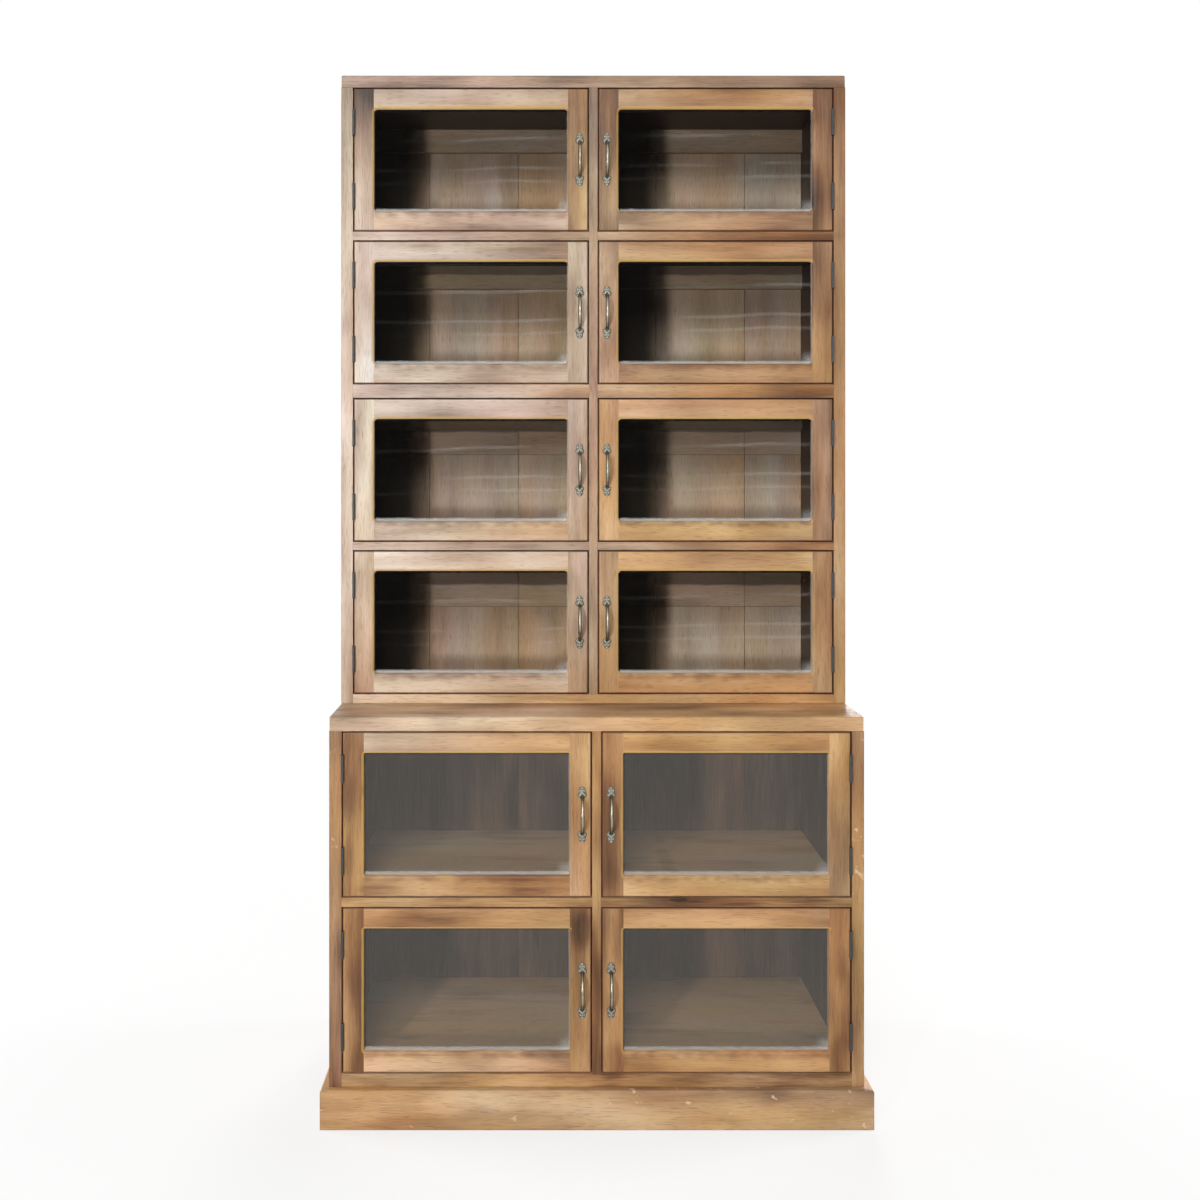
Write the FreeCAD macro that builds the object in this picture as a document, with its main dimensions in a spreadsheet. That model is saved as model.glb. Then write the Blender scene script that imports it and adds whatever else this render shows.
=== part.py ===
import FreeCAD, Part
import os
import re
import Sketcher

# A two-part haberdashery cabinet: eight glazed doors over four, on a plinth.
# Millimetres. X runs to the right, the fronts face -Y and Z runs up from the floor.
# The origin is on the floor, midway across the width and midway between the back and the pulls.

doc = FreeCAD.newDocument("haberdashery_cabinet")

# Driving dimensions: one name and one number each.
driving_sizes = {
    # carcass
    "plinth_width": 1066.8,
    "cabinet_height": 2082.8,
    "ledge_height": 792,
    "base_depth": 457,
    "upper_depth": 317,
    "plinth_height": 75,
    "plinth_overhang": 15.4,
    "plinth_board": 30,
    "plinth_edge_chamfer": 2.5,
    "block_size": 45,
    "block_drop": 6,
    "side_board": 24,
    "divider_board": 18,
    "base_bottom_thick": 26,
    "base_shelf_thick": 18,
    "ledge_thick": 28,
    "upper_bottom_thick": 19,
    "low_shelf_thick": 17,
    "middle_shelf_thick": 28,
    "high_shelf_thick": 18,
    "top_thick": 25,
    "board_corner_radius": 4,
    "board_edge_chamfer": 1.5,
    # joints of the carcass
    "housing_depth": 6,
    "housing_stop": 14,
    "back_board": 12,
    "back_rebate": 10,
    "outer_plank": 130,
    "inner_plank": 205,
    "plank_lap": 6,
    "plank_gap": 1,
    "back_rail_height": 52,
    "back_rail_thick": 16,
    # doors
    "door_gap": 2,
    "door_board": 20,
    "door_member": 41,
    "moulding_radius": 5.5,
    "glass_lip": 8,
    "glass_rebate": 9,
    "glass_thick": 3,
    "glass_play": 1,
    "bead_width": 8,
    "tenon_length": 22,
    "tenon_thick": 7,
    "tenon_shoulder": 6,
    "tenon_end_play": 1,
    # hinges
    "hinge_length": 54,
    "hinge_inset": 45,
    "hinge_leaf": 1.2,
    "hinge_leaf_width": 18,
    "hinge_proud": 0.3,
    "barrel_radius": 3,
    "barrel_clearance": 0.2,
    "pin_radius": 1.3,
    "pin_clearance": 0.08,
    "knuckle_gap": 0.2,
    "gain_end_play": 0.2,
    # pulls
    "pull_inset": 17,
    "pull_span": 70,
    "pull_projection": 28,
    "pull_bar_radius": 3.3,
    "pull_foot_radius": 2.8,
    "pull_plate_width": 17,
    "pull_plate_length": 22,
    "pull_plate_thick": 2.5,
    "pull_collar_radius": 5,
    "pull_collar_height": 5,
    # catches
    "catch_inset": 80,
    "catch_width": 34,
    "catch_height": 13,
    "catch_depth": 15,
    "catch_magnet_width": 22,
    "catch_magnet_depth": 3,
    "catch_magnet_height": 9,
    "catch_gap": 0.3,
    "strike_width": 30,
    "strike_height": 11,
    "strike_thick": 1.2,
    "strike_drop": 3,
}

# Sides of the prisms that the small round parts are made of, and lengths in a pull's bow.
knuckle_sides, pin_sides = 6, 6
bow_sides, collar_sides, bow_steps = 6, 6, 8

# Two places this close together, in millimetres, are the same place.
same_place = 1e-6

# The door's quarter-round moulding is worked in this many flats.
moulding_flats = 3

# Sizes that follow from the driving ones.
following_sizes = {
    "base_width": "plinth_width - 2 * plinth_overhang",
    "half_base": "base_width / 2",
    "half_plinth": "plinth_width / 2",
    "back_face": "(base_depth + max(pull_projection; plinth_overhang)) / 2",
    "base_front": "back_face - base_depth",
    "upper_front": "back_face - upper_depth",
    "plinth_front_face": "base_front - plinth_overhang",
    "planks_face": "back_face - back_board",
    "half_inside": "half_base - side_board",
    "half_divider": "divider_board / 2",
    "opening_width": "half_inside - half_divider",
    "base_floor": "plinth_height + base_bottom_thick",
    "ledge_under": "ledge_height - ledge_thick",
    "base_opening": "(ledge_under - base_floor - base_shelf_thick) / 2",
    "base_shelf_under": "base_floor + base_opening",
    "upper_floor": "ledge_height + upper_bottom_thick",
    "upper_ceiling": "cabinet_height - top_thick",
    "upper_shelving": "low_shelf_thick + middle_shelf_thick + high_shelf_thick",
    "upper_opening": "(upper_ceiling - upper_floor - upper_shelving) / 4",
    "low_shelf_under": "upper_floor + upper_opening",
    "middle_shelf_under": "low_shelf_under + low_shelf_thick + upper_opening",
    "high_shelf_under": "middle_shelf_under + middle_shelf_thick + upper_opening",
    "door_left": "door_gap - half_inside",
    "door_right": "0 - half_divider - door_gap",
    "sight_left": "door_left + door_member",
    "sight_right": "door_right - door_member",
    "gain_depth": "hinge_leaf - hinge_proud",
    "hinge_axis": "barrel_radius - gain_depth - half_inside",
    "hinge_proudness": "barrel_radius + barrel_clearance",
    "bore_radius": "(pin_radius + pin_clearance) / cos(180 deg / %d)" % knuckle_sides,
    "knuckle_length": "(hinge_length - 2 * knuckle_gap) / 3",
    "pull_rise": "pull_projection - pull_bar_radius * cos(180 deg / %d)" % bow_sides,
    "pull_bow_radius": "(pull_span * pull_span / 4 + pull_rise * pull_rise) / (2 * pull_rise)",
    "pull_bow_half_turn": "asin(pull_span / 2 / pull_bow_radius)",
    "pull_axis": "door_right - pull_inset",
    "catch_centre": "door_right - catch_inset",
}
for corner in range(moulding_flats + 1):
    turned = "(90 deg * %d / %d)" % (corner, moulding_flats)
    following_sizes["flare_out_%d" % corner] = "moulding_radius * (1 - cos%s)" % turned
    following_sizes["flare_deep_%d" % corner] = "moulding_radius * (1 - sin%s)" % turned


def bound(formula):
    """The formula as an expression that reads its names from the sheet."""
    return re.sub(r"\b(?!max\b|a?sin\b|cos\b)[a-z]\w+", lambda word: "sizes." + word.group(), formula)


def fill_sheet():
    sheet = doc.addObject("Spreadsheet::Sheet", "sizes")
    for row, (name, number) in enumerate(driving_sizes.items(), start=1):
        sheet.set("A%d" % row, name)
        sheet.set("B%d" % row, str(number))
        sheet.setAlias("B%d" % row, name)
    for row, (name, formula) in enumerate(following_sizes.items(), start=1):
        sheet.set("D%d" % row, name)
        sheet.set("E%d" % row, "=" + formula)
        sheet.setAlias("E%d" % row, name)
    doc.recompute()
    return sheet


sizes = fill_sheet()


def size(name):
    return float(sizes.get(name))


def bind(piece, **formulas):
    """Bind properties to formulas; x, y and z stand for the piece's position."""
    for name, formula in formulas.items():
        if name in ("x", "y", "z"):
            name = ".Placement.Base." + name
        piece.setExpression(name, bound(str(formula)))
    return piece


def box(name, x, y, z, across, deep, high):
    """A board given by its left front lower corner and its three sizes."""
    piece = doc.addObject("Part::Box", name)
    return bind(piece, x=x, y=y, z=z, Length=across, Width=deep, Height=high)


def fuse(name, pieces):
    piece = doc.addObject("Part::MultiFuse", name)
    piece.Shapes = pieces
    piece.Refine = True
    return piece


def cut(name, base, tools):
    piece = doc.addObject("Part::Cut", name)
    piece.Base = base
    piece.Tool = tools[0] if len(tools) == 1 else fuse(name + "_tools", tools)
    piece.Refine = True
    return piece


def group(name, pieces, rise=None):
    """Separate solids kept together, lifted by the formula in rise."""
    piece = doc.addObject("Part::Compound", name)
    piece.Links = pieces
    if rise:
        bind(piece, z=rise)
    return piece


def mirrored(name, source):
    piece = doc.addObject("Part::Mirroring", name)
    piece.Source = source
    piece.Normal = FreeCAD.Vector(1, 0, 0)
    return piece


def eased(name, base, picks, amount, kind="Part::Fillet"):
    """Round the edges that picks accepts, or chamfer them."""
    base.recompute(True)
    piece = doc.addObject(kind, name)
    piece.Base = base
    edges = enumerate(base.Shape.Edges, start=1)
    piece.Edges = [(number, amount, amount) for number, edge in edges if picks(edge)]
    return piece


def padded(name, plane_role, corners, thick, lift):
    """A body padded by thick from a closed outline of formula pairs, lift above the plane."""
    body = doc.addObject("PartDesign::Body", name)
    plane = [datum for datum in body.Origin.OriginFeatures if datum.Role == plane_role][0]
    sketch = body.newObject("Sketcher::SketchObject", name + "_outline")
    sketch.AttachmentSupport = [(plane, "")]
    sketch.MapMode = "FlatFace"
    bind(sketch, **{"AttachmentOffset.Base.z": lift})
    doc.recompute()
    spots = [[doc_value(formula) for formula in corner] for corner in corners]
    count = len(corners)
    for index, (start_x, start_y) in enumerate(spots):
        end_x, end_y = spots[(index + 1) % count]
        start, end = FreeCAD.Vector(start_x, start_y, 0), FreeCAD.Vector(end_x, end_y, 0)
        sketch.addGeometry(Part.LineSegment(start, end), False)
    for index, corner in enumerate(corners):
        sketch.addConstraint(Sketcher.Constraint("Coincident", index, 2, (index + 1) % count, 1))
        for kind, formula, spot in zip(("DistanceX", "DistanceY"), corner, spots[index]):
            rule = sketch.addConstraint(Sketcher.Constraint(kind, -1, 1, index, 1, spot))
            sketch.setExpression("Constraints[%d]" % rule, bound(formula))
    pad = body.newObject("PartDesign::Pad", name + "_pad")
    pad.Profile = sketch
    bind(pad, Length=thick)
    body.Tip = pad
    return body


def doc_value(formula):
    """The number that a formula stands for."""
    cell = "H1"
    sizes.set(cell, "=" + formula)
    doc.recompute([sizes])
    number = float(sizes.get(cell))
    sizes.clear(cell)
    return number


def along(edge, axis):
    """True for a straight edge that runs along the axis."""
    ends = [vertex.Point for vertex in edge.Vertexes]
    if len(ends) < 2 or not isinstance(edge.Curve, Part.Line):
        return False
    span = ends[1] - ends[0]
    return abs(abs(span.normalize().dot(axis)) - 1) < same_place


across_axis, upright_axis = FreeCAD.Vector(1, 0, 0), FreeCAD.Vector(0, 0, 1)


# Plinth: four boards, mitred at the front corners and butted at the back, with glue blocks inside.

def make_plinth():
    top = "plinth_height"
    front, back = "plinth_front_face", "back_face"
    behind = "plinth_front_face + plinth_board"
    inner = "half_plinth - plinth_board"
    front_board = padded("plinth_front", "XY_Plane", [
        ("0 - half_plinth", front),
        ("half_plinth", front),
        (inner, behind),
        ("0 - (%s)" % inner, behind),
    ], top, "0")
    left_board = padded("plinth_left", "XY_Plane", [
        ("0 - half_plinth", front),
        ("0 - (%s)" % inner, behind),
        ("0 - (%s)" % inner, back),
        ("0 - half_plinth", back),
    ], top, "0")
    back_board = box("plinth_back", "0 - (%s)" % inner, "back_face - plinth_board", 0,
                     "2 * (%s)" % inner, "plinth_board", top)
    chamfer = size("plinth_edge_chamfer")

    def front_arris(edge):
        middle = edge.CenterOfMass
        return (along(edge, across_axis) and abs(middle.z - size("plinth_height")) < same_place
                and abs(middle.y - size("plinth_front_face")) < same_place)

    def side_arris(edge):
        middle = edge.CenterOfMass
        return (abs(middle.z - size("plinth_height")) < same_place
                and abs(middle.x + size("half_plinth")) < same_place)

    front_done = eased("plinth_front_eased", front_board, front_arris, chamfer, "Part::Chamfer")
    left_done = eased("plinth_left_eased", left_board, side_arris, chamfer, "Part::Chamfer")
    block_high = "plinth_height - block_drop"
    left_block = "0 - (%s)" % inner
    blocks = [
        box("plinth_front_block", left_block, behind, 0, "block_size", "block_size", block_high),
        box("plinth_back_block", left_block, "back_face - plinth_board - block_size", 0,
            "block_size", "block_size", block_high),
    ]
    left_blocks = group("plinth_left_blocks", blocks)
    return {
        "plinth_front": front_done,
        "plinth_left": left_done,
        "plinth_right": mirrored("plinth_right_board", left_done),
        "plinth_back": back_board,
        "plinth_corner_blocks": group("plinth_blocks", [
            left_blocks, mirrored("plinth_right_blocks", left_blocks)]),
    }


# Carcass boards. Shelves and bottoms sit in stopped housings, and the divider crosses the
# shelves in half-lap joints: its front half is whole and theirs is notched.

def housed_board(name, front, under, thick):
    reach = "half_inside + housing_depth"
    deep = "planks_face - %s" % front
    left = "0 - (%s)" % reach
    board = box(name + "_blank", left, front, under, "2 * (%s)" % reach, deep, thick)
    ends = [
        box(name + "_left_stop", left, front, under,
            "housing_depth", "housing_stop", thick),
        box(name + "_right_stop", "half_inside", front, under,
            "housing_depth", "housing_stop", thick),
    ]
    return board, ends


def side_housing(name, front, under, thick):
    return box(name, "0 - half_inside - housing_depth", front + " + housing_stop", under,
               "housing_depth", "planks_face - %s - housing_stop" % front, thick)


def hinge_gain(name, left, front, under):
    """The recess that a hinge leaf is let into."""
    return box(name, left, front, "%s - gain_end_play" % under,
               "gain_depth", "hinge_leaf_width", "hinge_length + 2 * gain_end_play")


def hinge_unders(door_under, door_high):
    """The lower ends of a door's two hinges."""
    low = "%s + hinge_inset" % door_under
    high = "%s + %s - hinge_inset - hinge_length" % (door_under, door_high)
    return [low, high]


def make_side(name, front, under, high, housings, door_unders, door_high):
    board = box(name + "_blank", "0 - half_base", front, under,
                "side_board", "back_face - %s" % front, high)
    cuts = [box(name + "_rebate", "0 - half_inside - back_rebate", "planks_face", under,
                "back_rebate", "back_board", high)]
    for number, (housing_under, thick) in enumerate(housings):
        cuts.append(side_housing("%s_housing_%d" % (name, number), front, housing_under, thick))
    for row, door_under in enumerate(door_unders):
        for end, hinge_under in enumerate(hinge_unders(door_under, door_high)):
            cuts.append(hinge_gain("%s_gain_%d_%d" % (name, row, end),
                                   "0 - half_inside - gain_depth", front, hinge_under))
    return cut(name, board, cuts)


def make_divider(name, front, floor, ceiling, shelves):
    deep = "planks_face - %s" % front
    under = "%s - housing_depth" % floor
    high = "%s - %s + 2 * housing_depth" % (ceiling, floor)
    board = box(name + "_blank", "0 - half_divider", front, under, "divider_board", deep, high)
    cuts = [
        box(name + "_low_stop", "0 - half_divider", front, under,
            "divider_board", "housing_stop", "housing_depth"),
        box(name + "_high_stop", "0 - half_divider", front, ceiling,
            "divider_board", "housing_stop", "housing_depth"),
    ]
    for number, (shelf_under, thick) in enumerate(shelves):
        cuts.append(box("%s_lap_%d" % (name, number), "0 - half_divider",
                        "%s + (%s) / 2" % (front, deep), shelf_under,
                        "divider_board", "(%s) / 2" % deep, thick))
    return cut(name, board, cuts)


def divider_housing(name, front, under):
    return box(name, "0 - half_divider", front + " + housing_stop", under,
               "divider_board", "planks_face - %s - housing_stop" % front, "housing_depth")


def make_shelf(name, front, under, thick):
    board, ends = housed_board(name, front, under, thick)
    lap = box(name + "_lap", "0 - half_divider", front, under,
              "divider_board", "(planks_face - %s) / 2" % front, thick)
    return cut(name, board, ends + [lap])


def make_bottom(name, front, under, thick):
    board, ends = housed_board(name, front, under, thick)
    groove = divider_housing(name + "_groove", front, "%s + %s - housing_depth" % (under, thick))
    return cut(name, board, ends + [groove])


def make_top(name, front, under, thick):
    """A top board over the sides, its front corners and upper front arris eased."""
    blank = box(name + "_blank", "0 - half_base", front, under,
                "base_width", "back_face - %s" % front, thick)
    groove = divider_housing(name + "_groove", front, under)
    board = cut(name + "_grooved", blank, [groove])
    front_y, top_z = doc_value(front), doc_value("%s + %s" % (under, thick))

    def front_corner(edge):
        middle = edge.CenterOfMass
        return (along(edge, upright_axis) and abs(middle.y - front_y) < same_place
                and abs(abs(middle.x) - size("half_base")) < same_place)

    def upper_arris(edge):
        middle = edge.CenterOfMass
        return (along(edge, across_axis) and abs(middle.y - front_y) < same_place
                and abs(middle.z - top_z) < same_place)

    cornered = eased(name + "_cornered", board, front_corner, size("board_corner_radius"))
    return eased(name, cornered, upper_arris, size("board_edge_chamfer"), "Part::Chamfer")


def make_planks(name, under, high):
    """Upright back boards with lapped edges and a seam between each two."""
    starts = [
        "0 - half_inside - back_rebate",
        "outer_plank - half_inside",
        "outer_plank + inner_plank - half_inside",
        "half_inside - outer_plank - inner_plank",
        "half_inside - outer_plank",
        "half_inside + back_rebate",
    ]
    planks = []
    for number, (start, end) in enumerate(zip(starts, starts[1:])):
        label = "%s_%d" % (name, number + 1)
        last = number == len(starts) - 2
        play = "0" if last else "plank_gap"
        board = box(label + "_blank", start, "planks_face", under,
                    "%s - (%s) - %s" % (end, start, play), "back_board", high)
        if not last:
            tongue = box(label + "_tongue", end + " - plank_gap", "planks_face + back_board / 2",
                         under, "plank_lap", "back_board / 2", high)
            board = fuse(label + "_tongued", [board, tongue])
        if number:
            lap = box(label + "_lap", start, "planks_face + back_board / 2", under,
                      "plank_lap", "back_board / 2", high)
            board = cut(label, board, [lap])
        planks.append(board)
    return group(name, planks)


upper_shelf_places = [
    ("low_shelf_under", "low_shelf_thick"),
    ("middle_shelf_under", "middle_shelf_thick"),
    ("high_shelf_under", "high_shelf_thick"),
]
upper_door_places = ["high_shelf_under + high_shelf_thick",
                     "middle_shelf_under + middle_shelf_thick",
                     "low_shelf_under + low_shelf_thick",
                     "upper_floor"]
base_shelf_place = ("base_shelf_under", "base_shelf_thick")
base_door_places = ["base_shelf_under + base_shelf_thick", "base_floor"]


def make_base():
    front, under, high = "base_front", "plinth_height", "ledge_under - plinth_height"
    bottom_place = ("plinth_height", "base_bottom_thick")
    left = make_side("base_left_side", front, under, high, [bottom_place, base_shelf_place],
                     base_door_places, "base_opening")
    return {
        "base_left_side": left,
        "base_right_side": mirrored("base_right_board", left),
        "base_bottom_board": make_bottom("base_bottom", front, *bottom_place),
        "base_shelf": make_shelf("base_shelf_board", front, *base_shelf_place),
        "base_divider": make_divider("base_divider_board", front, "base_floor", "ledge_under",
                                     [base_shelf_place]),
        "base_ledge_top": make_top("base_ledge", front, "ledge_under", "ledge_thick"),
        "base_back_planks": make_planks("base_planks", under, high),
    }


def make_upper():
    front, under, high = "upper_front", "ledge_height", "upper_ceiling - ledge_height"
    bottom_place = ("ledge_height", "upper_bottom_thick")
    left = make_side("upper_left_side", front, under, high, [bottom_place] + upper_shelf_places,
                     upper_door_places, "upper_opening")
    shelves = [make_shelf("upper_shelf_%d" % number, front, *place)
               for number, place in enumerate(upper_shelf_places, start=1)]
    rails = []
    for number, door_under in enumerate(upper_door_places, start=1):
        rails.append(box("upper_back_rail_%d" % number, "0 - half_inside",
                         "planks_face - back_rail_thick",
                         "%s + upper_opening - back_rail_height" % door_under,
                         "opening_width", "back_rail_thick", "back_rail_height"))
    left_rails = group("upper_left_back_rails", rails)
    return {
        "upper_left_side": left,
        "upper_right_side": mirrored("upper_right_board", left),
        "upper_bottom_board": make_bottom("upper_bottom", front, *bottom_place),
        "upper_shelves": group("upper_shelf_boards", shelves),
        "upper_divider": make_divider("upper_divider_board", front, "upper_floor",
                                      "upper_ceiling", upper_shelf_places),
        "upper_top_board": make_top("upper_top", front, "upper_ceiling", "top_thick"),
        "upper_back_planks": make_planks("upper_planks", under, high),
        "upper_back_rails": group("upper_rails", [
            left_rails, mirrored("upper_right_back_rails", left_rails)]),
    }


# Doors: two stiles and two rails with mortise and tenon joints. A quarter-round moulding runs
# round the front inner edge, mitred at its corners, and four beads hold the pane behind.

class Door:
    """The measures of one size of door, as formulas, in the lowest opening of its column."""

    def __init__(self, tag, front, floor, opening):
        self.tag = tag
        self.front = front
        self.floor = floor
        self.opening = opening
        self.under = floor + " + door_gap"
        self.high = opening + " - 2 * door_gap"
        self.top = "%s + %s - door_gap" % (floor, opening)
        self.sight_under = self.under + " + door_member"
        self.sight_high = self.high + " - 2 * door_member"
        self.rear = front + " + door_board"
        self.axis_y = front + " - hinge_proudness"
        self.middle = "%s + %s / 2" % (floor, opening)


def router_block(door):
    """What the round-over cutter sweeps: the sight opening, flared flat by flat to the face."""
    name = door.tag + "_router"
    parts = [box(name + "_hole", "sight_left", door.front, door.sight_under,
                 "sight_right - sight_left", "glass_lip", door.sight_high)]
    sight_top = "%s + %s" % (door.sight_under, door.sight_high)
    for flat in range(moulding_flats):
        wedge = doc.addObject("Part::Wedge", "%s_flare_%d" % (name, flat))
        inner, outer = "flare_out_%d" % flat, "flare_out_%d" % (flat + 1)
        parts.append(bind(
            wedge,
            Ymin="%s + flare_deep_%d" % (door.front, flat + 1),
            Ymax="%s + flare_deep_%d" % (door.front, flat),
            Xmin="sight_left - " + outer, Xmax="sight_right + " + outer,
            Zmin="%s - %s" % (door.sight_under, outer), Zmax="%s + %s" % (sight_top, outer),
            X2min="sight_left - " + inner, X2max="sight_right + " + inner,
            Z2min="%s - %s" % (door.sight_under, inner), Z2max="%s + %s" % (sight_top, inner)))
    return fuse(name, parts)


def tenon_box(door, name, left, rail_under, longer):
    return box(name, left, "%s + (door_board - tenon_thick) / 2" % door.front, rail_under,
               "tenon_length + %s" % longer, "tenon_thick",
               "door_member - tenon_shoulder - glass_rebate")


def make_frame(door):
    tag = door.tag
    router = router_block(door)
    rebate_left, rebate_under = "sight_left - glass_rebate", door.sight_under + " - glass_rebate"
    rebate = box(tag + "_glass_rebate", rebate_left, door.front + " + glass_lip", rebate_under,
                 "sight_right - sight_left + 2 * glass_rebate", "door_board - glass_lip",
                 door.sight_high + " + 2 * glass_rebate")
    tenon_unders = {
        "bottom": door.under + " + tenon_shoulder",
        "top": "%s - door_member + glass_rebate" % door.top,
    }
    play = "tenon_end_play"
    members = []
    for place, left, mortise_left in (
            ("hinge", "door_left", "sight_left - tenon_length - tenon_end_play"),
            ("lock", "sight_right", "sight_right")):
        label = "%s_%s_stile" % (tag, place)
        blank = box(label + "_blank", left, door.front, door.under,
                    "door_member", "door_board", door.high)
        cuts = [router, rebate]
        for end, tenon_under in tenon_unders.items():
            cuts.append(tenon_box(door, "%s_%s_mortise" % (label, end), mortise_left,
                                  tenon_under, play))
        if place == "hinge":
            for end, hinge_under in enumerate(hinge_unders(door.floor, door.opening)):
                cuts.append(hinge_gain("%s_gain_%d" % (label, end), left, door.front, hinge_under))
        members.append(cut(label, blank, cuts))
    for place, rail_under in (("bottom", door.under), ("top", door.top + " - door_member")):
        label = "%s_%s_rail" % (tag, place)
        blank = box(label + "_blank", "sight_left", door.front, rail_under,
                    "sight_right - sight_left", "door_board", "door_member")
        tenon_under = tenon_unders[place]
        tenons = [
            tenon_box(door, label + "_left_tenon", "sight_left - tenon_length", tenon_under, "0"),
            tenon_box(door, label + "_right_tenon", "sight_right", tenon_under, "0"),
        ]
        whole = fuse(label + "_tenoned", [blank] + tenons)
        members.append(cut(label, whole, [router, rebate]))
    return members + make_beads(door, rebate_left, rebate_under)


def make_beads(door, left, under):
    """Four beads round the rebate behind the pane: two full length, two between them."""
    behind = door.front + " + glass_lip + glass_thick"
    thick = "door_board - glass_lip - glass_thick"
    wide = "sight_right - sight_left + 2 * glass_rebate"
    high = door.sight_high + " + 2 * glass_rebate"
    upper = "%s + %s - bead_width" % (under, high)
    between = "%s + bead_width" % under
    right = "sight_right + glass_rebate - bead_width"
    return [
        box(door.tag + "_bottom_bead", left, behind, under, wide, thick, "bead_width"),
        box(door.tag + "_top_bead", left, behind, upper, wide, thick, "bead_width"),
        box(door.tag + "_left_bead", left, behind, between, "bead_width", thick,
            "%s - 2 * bead_width" % high),
        box(door.tag + "_right_bead", right, behind, between, "bead_width", thick,
            "%s - 2 * bead_width" % high),
    ]


def make_pane(door):
    return box(door.tag + "_pane", "sight_left - glass_rebate + glass_play",
               door.front + " + glass_lip", door.sight_under + " - glass_rebate + glass_play",
               "sight_right - sight_left + 2 * (glass_rebate - glass_play)", "glass_thick",
               door.sight_high + " + 2 * (glass_rebate - glass_play)")


# Hinges: butt hinges with three knuckles, the pin riveted into the two of the frame leaf.
# Knuckles, bores and pins are prisms, and the bore's flats clear the pin's corners.


def hinge_rod(name, door, under, radius, high, sides):
    rod = doc.addObject("Part::Prism", name)
    rod.Polygon = sides
    return bind(rod, x="hinge_axis", y=door.axis_y, z=under, Circumradius=radius, Height=high)


def make_hinge(door, label, under):
    """The frame leaf with its two knuckles and pin, and the door leaf with the middle knuckle."""
    step = "knuckle_length + knuckle_gap"
    middle_under = "%s + %s" % (under, step)
    top_under = "%s + 2 * (%s)" % (under, step)
    face = door.front
    frame_left = "0 - half_inside - gain_depth"
    door_leaf_left = "door_left - hinge_proud"
    frame_parts = [box(label + "_frame_plate", frame_left, face, under,
                       "hinge_leaf", "hinge_leaf_width", "hinge_length")]
    for place, knuckle_under in (("low", under), ("high", top_under)):
        name = "%s_%s" % (label, place)
        frame_parts.append(hinge_rod(name + "_knuckle", door, knuckle_under,
                                     "barrel_radius", "knuckle_length", knuckle_sides))
        frame_parts.append(box(name + "_neck", frame_left, door.axis_y, knuckle_under,
                               "hinge_leaf", "hinge_proudness", "knuckle_length"))
    frame_parts.append(hinge_rod(label + "_pin", door, under, "pin_radius", "hinge_length",
                                 pin_sides))
    knuckle = hinge_rod(label + "_knuckle", door, middle_under, "barrel_radius",
                        "knuckle_length", knuckle_sides)
    neck_start = "(barrel_radius + bore_radius) / 2"
    neck = box(label + "_door_neck", door_leaf_left, "%s + %s" % (door.axis_y, neck_start),
               middle_under, "hinge_leaf", "hinge_proudness - " + neck_start, "knuckle_length")
    plate = box(label + "_door_plate", door_leaf_left, face, under,
                "hinge_leaf", "hinge_leaf_width", "hinge_length")
    bore = hinge_rod(label + "_bore", door, middle_under, "bore_radius", "knuckle_length",
                     knuckle_sides)
    door_leaf = cut(label + "_door_leaf", fuse(label + "_door_solid", [knuckle, neck, plate]),
                    [bore])
    return fuse(label + "_frame_leaf", frame_parts), door_leaf


# Pulls: a cast bow between two leaf-shaped plates, with a collar at each foot.

# Half of the leaf's outline, in widths across from the middle and lengths out from the bow.
leaf_half = [(0.34, 0), (0.5, 0.22), (0.34, 0.43), (0.36, 0.74), (0.17, 0.96)]


def make_bow(door):
    """A loft through prism sections along an arc, fullest in the middle."""
    name = door.tag + "_pull_bow"
    sections = []
    for step in range(bow_steps + 1):
        share = 2 * step / bow_steps - 1
        turn = "%s * pull_bow_half_turn" % share
        section = doc.addObject("Part::RegularPolygon", "%s_section_%d" % (name, step))
        section.Polygon = bow_sides
        section.Placement.Rotation = FreeCAD.Rotation(across_axis, 1)
        bind(section, x="pull_axis",
             y="%s - pull_rise + pull_bow_radius * (1 - cos(%s))" % (door.front, turn),
             z="%s + pull_bow_radius * sin(%s)" % (door.middle, turn),
             Circumradius="pull_bar_radius + %s * (pull_foot_radius - pull_bar_radius)" % abs(share))
        bind(section, **{".Placement.Rotation.Angle": turn})
        sections.append(section)
    bow = doc.addObject("Part::Loft", name)
    bow.Sections = sections
    bow.Solid = True
    bow.Ruled = True
    return bow


def make_pull(door):
    name = door.tag + "_pull"
    bow = make_bow(door)
    parts = [bow]
    for place, outward in (("upper", "+"), ("lower", "-")):
        foot = "%s %s pull_span / 2" % (door.middle, outward)
        start = "%s %s (pull_span / 2 - pull_bar_radius)" % (door.middle, outward)
        half = [("%s * pull_plate_width" % across, "%s %s %s * pull_plate_length"
                 % (start, outward, out)) for across, out in leaf_half]
        outline = [("pull_axis + " + across, height) for across, height in half]
        outline += [("pull_axis - " + across, height) for across, height in reversed(half)]
        parts.append(padded("%s_%s_plate" % (name, place), "XZ_Plane", outline,
                            "pull_plate_thick", "0 - (%s)" % door.front))
        collar = doc.addObject("Part::Prism", "%s_%s_collar" % (name, place))
        collar.Polygon = collar_sides
        collar.Placement.Rotation = FreeCAD.Rotation(across_axis, 90)
        bind(collar, x="pull_axis", y=door.front, z=foot,
             Circumradius="pull_collar_radius", Height="pull_collar_height")
        parts.append(collar)
    behind = box(name + "_behind", "pull_axis - pull_plate_width", door.front,
                 "%s - pull_span" % door.middle, "2 * pull_plate_width", "door_board",
                 "2 * pull_span")
    return cut(name, fuse(name + "_whole", parts), [behind])


# Catches: a magnet in a case under the board above each door, and a strike plate behind the door.

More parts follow.
